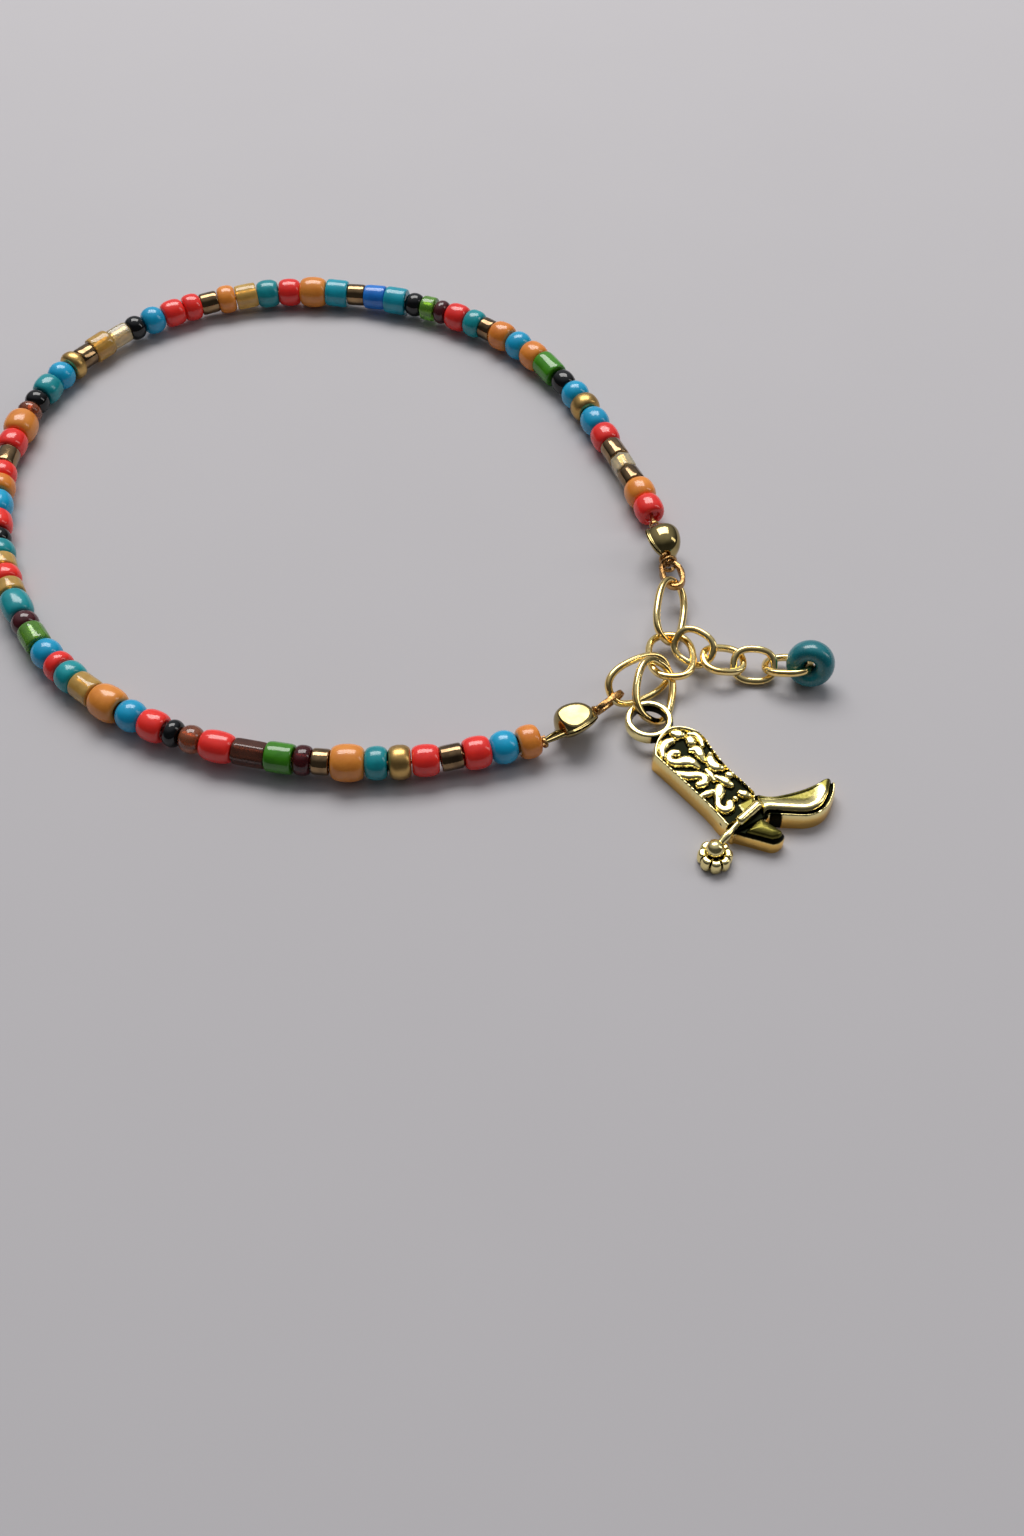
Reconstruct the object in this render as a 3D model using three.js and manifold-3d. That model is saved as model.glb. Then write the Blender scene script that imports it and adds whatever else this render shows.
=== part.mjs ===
// Beaded charm bracelet, laid in a loop on a flat surface. Millimetres, +Z up, origin at the
// middle of the footprint on the surface. Glass seed beads of two sizes run round one thread from
// one gold bead tip to the other. Long oval links join both tips to a centre ring, which also
// carries a short extender chain with a glass end bead, and a cast boot charm on its own ring.
import * as THREE from 'three';
import { mergeVertices } from 'three/addons/utils/BufferGeometryUtils.js';
import Module from 'manifold-3d';

const wasm = await Module();
wasm.setup();

// Glass beads
const THREAD_HEIGHT = 1.58;      // the thread runs level, half the widest bead above the surface
const THREAD_RADIUS = 0.32;      // thread and bead rims where two beads meet
const BEAD_SIDES = 10;
const BEAD_PLAY = 0.06;          // air between two beads
const STRING_GAP = 0.1;          // air between the two solids of the string

// Metal wire and links
const WIRE = 0.5;
const WIRE_SIDES = 6;
const LINK_SECTIONS = 28;

// End bead
const END_BEAD = { diameter: 4.0, thickness: 2.1, hole: 1.12, sides: 16, profilePoints: 12 };

// Bead tips: two cupped shells closed over the knot, with a strip bent to a loop
const TIP_SHELL = {
  length: 4.2, radius: 1.5, taper: 0.34, taperPower: 0.9,
  rim: 0.18, rimThickness: 0.26, sides: 14, stations: 10,
};
const TIP_STRIP = { width: 0.62, thickness: 0.25, sections: 24 };
const TIP_STEM = { seat: 0.8, width: 0.6, thickness: 0.5 };   // seat: share of the shells' half length

// Boot charm
const BOOT_FLOOR = 1.4;          // height of the sunk ground between the scrolls
const BOOT_RELIEF = 1.85;        // height of scrolls, border and foot
const BOOT_OVERLAP = 0.2;        // how deep raised work is rooted in the plate
const BOOT_BORDER = 0.34;
const BOOT_HEEL_TOP = 1.7;
const BOOT_LOOP = { x: -2.06, y: 9.95, outer: 1.97, inner: 1.45, bottom: 0.8, top: 1.85, sides: 20 };
const SHAFT_MIDDLE = { x: -1.7, y: 3.2 };
const SCROLL_STEPS = 3;          // sections from one station of a scroll to the next
const CURVE_STEPS = 5;
const SPUR_STRAP = { from: [0.25, -1.55, 1.75], to: [-2.25, -2.12, 1.75], radius: 0.34 };
const SPUR_SHANK = { from: [-2.25, -2.12, 1.65], to: [-4.5, -2.72, 1.2], radius: 0.26 };
const SPUR_BALL = { at: [-4.93, -2.88, 1.2], radius: 0.62 };
const ROWEL = { x: -5.05, y: -3.16, radius: 1.5, root: 1.05, points: 8, bottom: 0.2, top: 1.1 };

const MERGE_DISTANCE = 1e-4;

const gold = () => new THREE.MeshStandardMaterial({ color: 0xd9b45a, roughness: 0.18, metalness: 1 });
const glass = (color) => new THREE.MeshStandardMaterial({ color, roughness: 0.12, metalness: 0 });

// Bead kinds: diameter in mm and form
const BEAD_KINDS = {
  red: { diameter: 2.7, form: 'round' },
  orange: { diameter: 2.85, form: 'round' },
  amber: { diameter: 3.1, form: 'round' },
  blue: { diameter: 2.75, form: 'round' },
  teal: { diameter: 2.75, form: 'round' },
  turquoise: { diameter: 2.7, form: 'tube' },
  royal: { diameter: 2.4, form: 'tube' },
  green: { diameter: 2.5, form: 'tube' },
  lime: { diameter: 2.4, form: 'tube' },
  brown: { diameter: 2.25, form: 'tube' },
  copper: { diameter: 2.35, form: 'round' },
  garnet: { diameter: 2.55, form: 'round' },
  maroon: { diameter: 2.4, form: 'round' },
  bronze: { diameter: 2.15, form: 'tube' },
  black: { diameter: 2.35, form: 'round' },
  gold: { diameter: 2.5, form: 'tube' },
  matte: { diameter: 2.8, form: 'round' },
  crystal: { diameter: 2.2, form: 'tube' },
};

// Room that a bead takes on the thread, by letter: small, medium, long, extra long
const BEAD_ROOM = { S: 1.45, M: 1.85, L: 2.25, X: 2.75 };

// The beads in order from the lower bead tip, one row for each stretch of the loop
const NEAR_BEADS = `
  orange/M blue/L red/L bronze/M red/L matte/M teal/M amber/X
  bronze/S garnet/S green/L brown/X red/X copper/M black/S red/L
  blue/L amber/X gold/L teal/M red/S blue/L lime/L maroon/M
  teal/X gold/S red/M gold/S teal/M black/M red/L blue/X
  orange/M red/M bronze/L red/L amber/X copper/S black/M`;
const FAR_BEADS = `
  teal/L blue/L matte/S bronze/M gold/L crystal/L black/M blue/L red/L
  red/M bronze/M orange/M gold/L teal/L red/L amber/X turquoise/L
  bronze/M royal/L turquoise/L black/M lime/S maroon/S red/L teal/M
  bronze/S orange/L blue/L orange/L green/X black/L blue/L matte/M
  blue/X red/L bronze/L crystal/M bronze/M orange/L red/L`;

// Route of the thread on the surface, from the lower tip round the near, left and far sides
const THREAD_ROUTE = [
  [13.59, -24.16], [12.54, -24.56], [3.84, -26.56], [-5.26, -26.56], [-14.06, -24.66],
  [-22.06, -20.66], [-28.66, -14.56], [-33.16, -6.76], [-35.76, 1.84], [-36.36, 10.84],
  [-34.36, 19.64], [-29.46, 27.14], [-22.26, 32.44], [-13.66, 34.94], [-4.66, 34.54],
  [3.84, 31.64], [11.24, 26.54], [16.64, 19.34], [20.24, 11.04], [23.34, 2.54],
  [23.69, 0.79],
];

// Links and rings: middle, then yaw, pitch and roll in degrees, outer length and width
const LINKS = {
  centre_ring: { at: [24.28, -15.38, 1.5], turn: [90, -6, 0], length: 5.6, width: 4.2 },
  link_upper: { at: [24.52, -10.5, 1.77], turn: [79, 7, 47], length: 6.6, width: 3.8 },
  link_lower: { at: [21.41, -18.09, 1.6], turn: [34, -5, 44], length: 6.4, width: 3.8 },
  charm_ring: { at: [22.64, -19.43, 1.77], turn: [78, 13, 42], length: 5.8, width: 4.4 },
  extender_link_1: { at: [26.26, -14.5, 1.61], turn: [-35, -3, 41], length: 3.9, width: 3.2 },
  extender_link_2: { at: [28.64, -15.75, 1.41], turn: [3, -8, -3], length: 3.9, width: 3.3 },
  extender_link_3: { at: [31.2, -16.14, 1.16], turn: [-3, -2, 36], length: 3.9, width: 3.2 },
  extender_link_4: { at: [33.94, -16.44, 1.5], turn: [-14, 13, -20], length: 4.2, width: 3.4 },
};

// Bead tips: middle of the shell, its turn, and the loop of the strip ahead of it
const TIPS = {
  bead_tip_lower: {
    at: [15.87, -23.18, 1.71], turn: [41, 2.5, 14],
    loop: { ahead: 3.95, drop: 0.45, length: 3.48, height: 1.94 },
  },
  bead_tip_upper: {
    at: [24.09, -1.91, 1.9], turn: [-80, 3.2, 95],
    loop: { ahead: 4.81, drop: 0, length: 3.8, height: 2.3 },
  },
};

const END_BEAD_PLACE = { at: [35.72, -16.78, 2.11], turn: [-16.4, 1.9, -19.2] };
const BOOT_PLACE = { at: [29.08, -29.73, 0], turn: [32, 0, 0] };

// Leaves and curls of the boot shaft: smooth strokes through stations of x, y and half width
const SCROLLS = {
  crest_leaf: [[-1.25, 7.75, 0.16], [-0.98, 7.45, 0.3], [-0.72, 7.22, 0.14]],
  crest_bud: [[-0.5, 6.52, 0.22], [-0.55, 6.28, 0.25]],
  crest_curl: [[-0.25, 7.05, 0.07], [0.16, 6.7, 0.1], [0.22, 6.1, 0.11], [0, 5.5, 0.08]],
  left_band: [[-1.8, 7.2, 0.18], [-2.4, 7.22, 0.22], [-2.95, 6.9, 0.19], [-3.3, 6.3, 0.1]],
  hook_leaf: [
    [-2.1, 5.96, 0.15], [-2.45, 6.16, 0.18], [-2.9, 6.0, 0.18], [-3.08, 5.6, 0.18],
    [-2.75, 5.2, 0.2], [-2.0, 4.95, 0.33], [-1.68, 4.5, 0.22], [-1.54, 3.95, 0.06],
  ],
  heart_leaf: [[-1.08, 5.66, 0.08], [-0.66, 5.36, 0.28], [-0.7, 4.8, 0.22], [-0.83, 4.3, 0.06]],
  right_leaf: [[0, 4.5, 0.1], [-0.4, 3.85, 0.26], [-0.4, 3.3, 0.26], [-0.06, 2.88, 0.13]],
  knot: [[-1.2, 3.35, 0.08], [-1.2, 2.8, 0.14], [-1.27, 2.25, 0.07]],
  long_leaf: [
    [-3.6, 4.7, 0.06], [-3.3, 4.25, 0.15], [-2.75, 3.68, 0.23], [-2.05, 3.28, 0.21],
    [-1.78, 2.8, 0.2], [-2.08, 2.44, 0.2], [-2.55, 2.5, 0.18],
  ],
  cross_leaf: [[-0.92, 2.42, 0.09], [-0.64, 1.78, 0.23], [-0.42, 1.15, 0.13]],
  bar_leaf: [[-2.95, 1.52, 0.1], [-2.5, 1.45, 0.17], [-2.05, 1.42, 0.12]],
  low_curl: [
    [-1.35, 1.42, 0.2], [-1.6, 1.1, 0.3], [-2.15, 0.55, 0.15], [-2.48, -0.02, 0.17],
    [-2.32, -0.48, 0.2], [-1.85, -0.55, 0.24], [-1.58, -0.25, 0.2],
  ],
  low_leaf: [[-0.27, 0.15, 0.15], [-0.07, -0.15, 0.21], [0.12, -0.42, 0.12]],
};

// The route as a smooth curve at the thread's height
function threadCurve() {
  const stations = THREAD_ROUTE.map(([x, y]) => new THREE.Vector3(x, y, THREAD_HEIGHT));
  const curve = new THREE.CatmullRomCurve3(stations, false, 'centripetal');
  curve.arcLengthDivisions = 2000;
  return curve;
}

// The chart as a list of beads, each with its kind and its room on the thread
function readChart(chart) {
  return chart.trim().split(/\s+/).map((word) => {
    const [kind, letter] = word.split('/');
    return { ...BEAD_KINDS[kind], room: BEAD_ROOM[letter] };
  });
}

// Where a bead's surface turns, as fractions of its half length and radius
const BEAD_PROFILES = {
  round: [[-0.94, 0.62], [-0.48, 1], [0.48, 1], [0.94, 0.62]],
  tube: [[-0.98, 0.78], [-0.84, 1], [0.84, 1], [0.98, 0.78]],
};

// Stations (distance along the thread, radius) of a run of beads that starts at the distance given
function stringStations(beads, start) {
  const stations = [[start, THREAD_RADIUS]];
  let reached = start;
  for (const bead of beads) {
    const half = (bead.room - BEAD_PLAY) / 2;
    const middle = reached + bead.room / 2;
    for (const [along, out] of BEAD_PROFILES[bead.form]) {
      stations.push([middle + along * half, out * bead.diameter / 2]);
    }
    reached += bead.room;
    stations.push([reached, THREAD_RADIUS]);
  }
  return stations;
}

// A closed surface from a grid of points: rows run along the body, columns round it
function gridGeometry(rows, closedRows, caps) {
  const rowCount = rows.length;
  const sides = rows[0].length;
  const positions = rows.flat().flatMap((point) => [point.x, point.y, point.z]);
  const index = [];
  const lastRow = closedRows ? rowCount : rowCount - 1;
  for (let row = 0; row < lastRow; row += 1) {
    const next = (row + 1) % rowCount;
    for (let side = 0; side < sides; side += 1) {
      const beside = (side + 1) % sides;
      const a = row * sides + side;
      const b = row * sides + beside;
      const c = next * sides + beside;
      const d = next * sides + side;
      index.push(a, c, b, a, d, c);
    }
  }
  if (!closedRows) {
    const first = positions.length / 3;
    positions.push(caps[0].x, caps[0].y, caps[0].z, caps[1].x, caps[1].y, caps[1].z);
    const lastStart = (rowCount - 1) * sides;
    for (let side = 0; side < sides; side += 1) {
      const beside = (side + 1) % sides;
      index.push(first, side, beside);
      index.push(first + 1, lastStart + beside, lastStart + side);
    }
  }
  const geometry = new THREE.BufferGeometry();
  geometry.setAttribute('position', new THREE.Float32BufferAttribute(positions, 3));
  geometry.setIndex(index);
  return geometry;
}

// Beads on the thread as one turned body that follows the route
function stringGeometry(curve, stations) {
  const total = curve.getLength();
  const up = new THREE.Vector3(0, 0, 1);
  const middles = [];
  const rows = stations.map(([distance, radius]) => {
    const share = THREE.MathUtils.clamp(distance / total, 0, 1);
    const middle = curve.getPointAt(share);
    const side = curve.getTangentAt(share).cross(up).normalize();
    middles.push(middle);
    const ring = [];
    for (let k = 0; k < BEAD_SIDES; k += 1) {
      const angle = 2 * Math.PI * (k + 0.5) / BEAD_SIDES;
      ring.push(middle.clone()
        .addScaledVector(side, radius * Math.cos(angle))
        .addScaledVector(up, radius * Math.sin(angle)));
    }
    return ring;
  });
  return gridGeometry(rows, false, [middles[0], middles[middles.length - 1]]);
}

// A flat oval loop in the XY plane: a section carried round two straights and two half circles
function ovalGeometry(length, width, section, sections) {
  const radius = width / 2;
  const straight = length - width;
  const arc = Math.PI * radius;
  const around = 2 * (straight + arc);
  const rows = [];
  for (let step = 0; step < sections; step += 1) {
    let s = around * step / sections;
    let point;
    let out;
    if (s < arc) {
      const angle = s / radius - Math.PI / 2;
      out = new THREE.Vector3(Math.cos(angle), Math.sin(angle), 0);
      point = new THREE.Vector3(straight / 2, 0, 0).addScaledVector(out, radius);
    } else if (s < arc + straight) {
      out = new THREE.Vector3(0, 1, 0);
      point = new THREE.Vector3(straight / 2 - (s - arc), radius, 0);
    } else if (s < 2 * arc + straight) {
      s -= arc + straight;
      const angle = s / radius + Math.PI / 2;
      out = new THREE.Vector3(Math.cos(angle), Math.sin(angle), 0);
      point = new THREE.Vector3(-straight / 2, 0, 0).addScaledVector(out, radius);
    } else {
      out = new THREE.Vector3(0, -1, 0);
      point = new THREE.Vector3(-straight / 2 + (s - 2 * arc - straight), -radius, 0);
    }
    rows.push(section.map(([outward, up]) => point.clone()
      .addScaledVector(out, outward)
      .setZ(up)));
  }
  return gridGeometry(rows, true, []);
}

// Round wire section, as points outward and up
function wireSection() {
  const points = [];
  for (let k = 0; k < WIRE_SIDES; k += 1) {
    const angle = 2 * Math.PI * (k + 0.5) / WIRE_SIDES;
    points.push([WIRE / 2 * Math.cos(angle), WIRE / 2 * Math.sin(angle)]);
  }
  return points;
}

// Turns a closed geometry into a solid for joining, with its faces outward
function solid(geometry) {
  geometry.deleteAttribute('normal');
  geometry.deleteAttribute('uv');
  const merged = mergeVertices(geometry, MERGE_DISTANCE);
  return new wasm.Manifold(new wasm.Mesh({
    numProp: 3,
    vertProperties: new Float32Array(merged.attributes.position.array),
    triVerts: new Uint32Array(merged.index.array),
  }));
}

// Turns a joined solid back into a geometry
function geometryOf(manifold) {
  const mesh = manifold.getMesh();
  const geometry = new THREE.BufferGeometry();
  geometry.setAttribute('position', new THREE.Float32BufferAttribute(mesh.vertProperties, 3));
  geometry.setIndex(Array.from(mesh.triVerts));
  return geometry;
}

// Joins a list of closed geometries
function join(geometries) {
  const solids = geometries.map(solid);
  return geometryOf(solids.slice(1).reduce((whole, piece) => whole.add(piece), solids[0]));
}

// A named mesh at its place: yaw about Z, then pitch up, then roll about its long axis
function piece(name, geometry, material, place) {
  const mesh = new THREE.Mesh(geometry, material);
  mesh.name = name;
  if (place) {
    const [yaw, pitch, roll] = place.turn.map(THREE.MathUtils.degToRad);
    mesh.position.set(...place.at);
    mesh.rotation.set(roll, -pitch, yaw, 'ZYX');
  }
  return mesh;
}

// Radius of the closed shells at a share (-1 tail, 1 nose) of their half length
function shellRadius(share) {
  const narrowing = (1 - TIP_SHELL.taper * share) ** TIP_SHELL.taperPower;
  return TIP_SHELL.radius * Math.sqrt(1 - share * share) * narrowing;
}

// Clamshell bead tip: the shells, the rims where they meet, the strip and its loop
function tipGeometry(loop) {
  const half = TIP_SHELL.length / 2;
  const profile = [];
  const rimOutline = new THREE.Shape();
  for (let k = 0; k <= TIP_SHELL.stations; k += 1) {
    const share = -Math.cos(Math.PI * k / TIP_SHELL.stations);
    profile.push(new THREE.Vector2(k % TIP_SHELL.stations ? shellRadius(share) : 0, share * half));
  }
  const shells = new THREE.LatheGeometry(profile, TIP_SHELL.sides).rotateZ(-Math.PI / 2);
  const stretch = 1 + TIP_SHELL.rim / half;
  const rimPoints = profile.map((p) => [p.y * stretch, p.x + (p.x ? TIP_SHELL.rim : 0)]);
  rimOutline.moveTo(...rimPoints[0]);
  rimPoints.slice(1).forEach(([x, y]) => rimOutline.lineTo(x, y));
  rimPoints.slice(1, -1).reverse().forEach(([x, y]) => rimOutline.lineTo(x, -y));
  const rimOptions = { depth: TIP_SHELL.rimThickness, bevelEnabled: false };
  const rim = new THREE.ExtrudeGeometry(rimOutline, rimOptions)
    .translate(0, 0, -TIP_SHELL.rimThickness / 2);
  const w = TIP_STRIP.width / 2;
  const t = TIP_STRIP.thickness / 2;
  const strip = [[t, -w], [t, w], [-t, w], [-t, -w]];
  const ring = ovalGeometry(loop.length - 2 * t, loop.height - 2 * t, strip, TIP_STRIP.sections)
    .rotateX(Math.PI / 2)
    .translate(loop.ahead, 0, -loop.drop);
  const stemStart = half * TIP_STEM.seat;
  const stemEnd = loop.ahead - loop.length / 2 + t;
  const stem = new THREE.BoxGeometry(stemEnd - stemStart, TIP_STEM.width, TIP_STEM.thickness)
    .translate((stemEnd + stemStart) / 2, 0, -loop.drop / 2);
  return join([shells, rim, stem, ring]);
}

// Glass ring bead: an oval section turned round the hole
function endBeadGeometry() {
  const wall = (END_BEAD.diameter - END_BEAD.hole) / 4;
  const profile = [];
  for (let k = 0; k <= END_BEAD.profilePoints; k += 1) {
    const angle = 2 * Math.PI * (k % END_BEAD.profilePoints) / END_BEAD.profilePoints;
    profile.push(new THREE.Vector2(
      END_BEAD.hole / 2 + wall + wall * Math.cos(angle),
      END_BEAD.thickness / 2 * Math.sin(angle),
    ));
  }
  return new THREE.LatheGeometry(profile, END_BEAD.sides);
}

// Outline of the shaft, upright: toe side +X, top +Y
function shaftShape() {
  const shape = new THREE.Shape();
  shape.moveTo(0.74, -0.45);
  shape.quadraticCurveTo(0.62, 1.2, 0.42, 2.4);
  shape.quadraticCurveTo(0.4, 3.9, 0.6, 5.4);
  shape.quadraticCurveTo(0.95, 6.9, -0.1, 7.9);
  shape.quadraticCurveTo(-1.0, 8.75, -2.2, 8.3);
  shape.quadraticCurveTo(-3.5, 7.7, -4.02, 6.6);
  shape.quadraticCurveTo(-3.6, 3.6, -3.3, 0.6);
  shape.lineTo(-3.2, -2.1);
  shape.lineTo(-0.6, -2.1);
  return shape;
}

// Outline of the foot: arch, upturned toe, instep and counter
function footShape() {
  const shape = new THREE.Shape();
  shape.moveTo(0.74, -0.45);
  shape.quadraticCurveTo(1.15, -1.35, 2.3, -1.65);
  shape.quadraticCurveTo(4.2, -2.3, 5.9, -2.25);
  shape.quadraticCurveTo(6.85, -2.3, 6.7, -3.05);
  shape.quadraticCurveTo(6.05, -3.95, 4.85, -4.5);
  shape.quadraticCurveTo(3.75, -4.95, 2.6, -4.35);
  shape.quadraticCurveTo(1.5, -3.6, 0.45, -2.8);
  shape.lineTo(-3.0, -2.6);
  shape.quadraticCurveTo(-3.4, -1.6, -3.25, -0.4);
  return shape;
}

// Under-slung heel block
function heelShape() {
  const shape = new THREE.Shape();
  shape.moveTo(-2.85, -2.5);
  shape.lineTo(-0.95, -4.85);
  shape.quadraticCurveTo(-0.55, -5.1, -0.2, -5.0);
  shape.quadraticCurveTo(0.25, -4.95, 0.4, -4.65);
  shape.quadraticCurveTo(0.3, -3.8, -0.1, -2.7);
  return shape;
}

// A flat outline as a plate between two heights
function plate(shape, bottom, top) {
  const options = { depth: top - bottom, bevelEnabled: false, curveSegments: CURVE_STEPS };
  return new THREE.ExtrudeGeometry(shape, options).translate(0, 0, bottom);
}

// Closed outline from a list of points
function shapeOf(points) {
  return new THREE.Shape(points.map(([x, y]) => new THREE.Vector2(x, y)));
}

// One stroke: a smooth curve through its stations, drawn out to each side by its half width
function scrollShape(stations) {
  const curve = new THREE.CatmullRomCurve3(stations.map((station) => new THREE.Vector3(...station)));
  const steps = SCROLL_STEPS * (stations.length - 1);
  const left = [];
  const right = [];
  for (let k = 0; k <= steps; k += 1) {
    const middle = curve.getPoint(k / steps);
    const along = curve.getTangent(k / steps).setZ(0).normalize();
    left.push([middle.x - along.y * middle.z, middle.y + along.x * middle.z]);
    right.push([middle.x + along.y * middle.z, middle.y - along.x * middle.z]);
  }
  return shapeOf([...left, ...right.reverse()]);
}

// The shaft's border: its outline less the same outline drawn in by the border's width
function borderGeometry() {
  const points = shaftShape().getPoints(CURVE_STEPS);
  const middle = new THREE.Vector2(SHAFT_MIDDLE.x, SHAFT_MIDDLE.y);
  const inset = points.map((point, k) => {
    const before = points[(k + points.length - 1) % points.length];
    const after = points[(k + 1) % points.length];
    const along = after.clone().sub(before).normalize();
    const inward = new THREE.Vector2(-along.y, along.x);
    if (inward.dot(middle.clone().sub(point)) < 0) {
      inward.negate();
    }
    return point.clone().addScaledVector(inward, BOOT_BORDER);
  });
  const shape = new THREE.Shape(points);
  shape.holes.push(new THREE.Path(inset));
  return plate(shape, BOOT_FLOOR - BOOT_OVERLAP, BOOT_RELIEF);
}

// Star wheel of the spur
function rowelShape() {
  const points = [];
  for (let k = 0; k < 2 * ROWEL.points; k += 1) {
    const radius = k % 2 ? ROWEL.root : ROWEL.radius;
    const angle = Math.PI * k / ROWEL.points;
    points.push([ROWEL.x + radius * Math.cos(angle), ROWEL.y + radius * Math.sin(angle)]);
  }
  return shapeOf(points);
}

// A round bar between two points of the charm
function bar({ from, to, radius }) {
  const start = new THREE.Vector3(...from);
  const end = new THREE.Vector3(...to);
  const length = start.distanceTo(end);
  const turn = new THREE.Quaternion()
    .setFromUnitVectors(new THREE.Vector3(0, 1, 0), end.clone().sub(start).normalize());
  return new THREE.CapsuleGeometry(radius, length, 3, 8)
    .applyQuaternion(turn)
    .translate(...start.add(end).multiplyScalar(0.5).toArray());
}

// The cast ring on top of the shaft
function loopGeometry() {
  const profile = [
    new THREE.Vector2(BOOT_LOOP.inner, BOOT_LOOP.bottom),
    new THREE.Vector2(BOOT_LOOP.outer, BOOT_LOOP.bottom),
    new THREE.Vector2(BOOT_LOOP.outer, BOOT_LOOP.top),
    new THREE.Vector2(BOOT_LOOP.inner, BOOT_LOOP.top),
    new THREE.Vector2(BOOT_LOOP.inner, BOOT_LOOP.bottom),
  ];
  return new THREE.LatheGeometry(profile, BOOT_LOOP.sides)
    .rotateX(Math.PI / 2)
    .translate(BOOT_LOOP.x, BOOT_LOOP.y, 0);
}

// The cast boot: shaft with border and scrolls, foot, heel, loop and spur
function bootGeometry() {
  const root = BOOT_FLOOR - BOOT_OVERLAP;
  return join([
    plate(shaftShape(), 0, BOOT_FLOOR),
    plate(footShape(), 0, BOOT_RELIEF),
    plate(heelShape(), 0, BOOT_HEEL_TOP),
    borderGeometry(),
    ...Object.values(SCROLLS).map((stations) => plate(scrollShape(stations), root, BOOT_RELIEF)),
    loopGeometry(),
    bar(SPUR_STRAP),
    bar(SPUR_SHANK),
    new THREE.IcosahedronGeometry(SPUR_BALL.radius, 1).translate(...SPUR_BALL.at),
    plate(rowelShape(), ROWEL.bottom, ROWEL.top),
  ]);
}

const bracelet = new THREE.Group();
const curve = threadCurve();
const nearBeads = readChart(NEAR_BEADS);
const farBeads = readChart(FAR_BEADS);
const room = (beads) => beads.reduce((sum, bead) => sum + bead.room, 0);
const start = (curve.getLength() - room(nearBeads) - room(farBeads)) / 2;
const nearStations = stringStations(nearBeads, start);
const farStations = stringStations(farBeads, start + room(nearBeads));
nearStations[nearStations.length - 1][0] -= STRING_GAP / 2;
farStations[0][0] += STRING_GAP / 2;
nearStations.unshift([0, THREAD_RADIUS]);
farStations.push([curve.getLength(), THREAD_RADIUS]);
bracelet.add(piece('bead_string_near', stringGeometry(curve, nearStations), glass(0xc8261e)));
bracelet.add(piece('bead_string_far', stringGeometry(curve, farStations), glass(0x1583a8)));

for (const [name, tip] of Object.entries(TIPS)) {
  bracelet.add(piece(name, tipGeometry(tip.loop), gold(), tip));
}
for (const [name, link] of Object.entries(LINKS)) {
  const geometry = ovalGeometry(link.length - WIRE, link.width - WIRE, wireSection(), LINK_SECTIONS);
  bracelet.add(piece(name, geometry, gold(), link));
}
bracelet.add(piece('end_bead', endBeadGeometry(), glass(0x0a6a78), END_BEAD_PLACE));
bracelet.add(piece('boot_charm', bootGeometry(), gold(), BOOT_PLACE));

export default bracelet;
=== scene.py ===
"""Looks of a beaded charm bracelet that lies in a loop on a pale surface.

Two strings of glass beads run round one thread from one gold bead tip to the other. Oval links
join both tips to a centre ring, which carries an extender chain with a glass end bead, and a cast
boot charm. Shapes are worked out in millimetres and put into meshes in metres.
"""

import logging
import math
from dataclasses import dataclass, field
from enum import Enum

import bmesh
import bpy
import numpy as np
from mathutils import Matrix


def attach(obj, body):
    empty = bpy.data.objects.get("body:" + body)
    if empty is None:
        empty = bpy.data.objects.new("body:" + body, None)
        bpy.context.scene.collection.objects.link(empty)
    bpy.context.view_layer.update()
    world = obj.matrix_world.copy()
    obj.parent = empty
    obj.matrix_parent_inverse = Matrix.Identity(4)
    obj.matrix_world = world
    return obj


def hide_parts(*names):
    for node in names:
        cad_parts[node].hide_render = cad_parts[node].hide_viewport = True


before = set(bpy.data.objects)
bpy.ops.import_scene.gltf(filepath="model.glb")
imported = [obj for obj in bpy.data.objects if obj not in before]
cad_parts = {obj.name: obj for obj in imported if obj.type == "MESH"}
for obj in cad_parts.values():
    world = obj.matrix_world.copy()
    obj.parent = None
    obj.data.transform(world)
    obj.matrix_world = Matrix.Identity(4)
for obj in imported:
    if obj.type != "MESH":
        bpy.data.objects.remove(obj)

Array = np.ndarray
Socket = bpy.types.NodeSocket
Thing = bpy.types.Object
Color = tuple[float, float, float]
Pair = tuple[float, float]
Triple = tuple[float, float, float]
Bands = tuple[Pair, Pair]
Face = tuple[Array, Array, Array]   # height, black, and olive painted reflection at each point

log = logging.getLogger("bracelet")

MM = 0.001
UP = (0.0, 0.0, 1.0)
TINY = 1e-12   # stands for 0 in a divisor
HAIR = 1e-6    # mm by which a round loop is less wide than long


# Shapes

@dataclass
class Surface:
    """Points, faces, a finish number for each face and named values for each point, in mm."""

    points: Array
    quads: Array
    tris: Array
    quad_paint: Array
    tri_paint: Array
    values: dict[str, Array] = field(default_factory=dict)

    def moved(self, turn: Array, place: Array) -> "Surface":
        """The surface turned by a 3x3 matrix and then moved."""
        points = self.points @ turn.T + place
        return Surface(points, self.quads, self.tris, self.quad_paint, self.tri_paint, self.values)

    def placed(self, turn: Triple, at: Triple) -> "Surface":
        """The surface turned by its yaw, pitch and roll in degrees and then moved."""
        return self.moved(turned(*turn), np.array(at))


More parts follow.
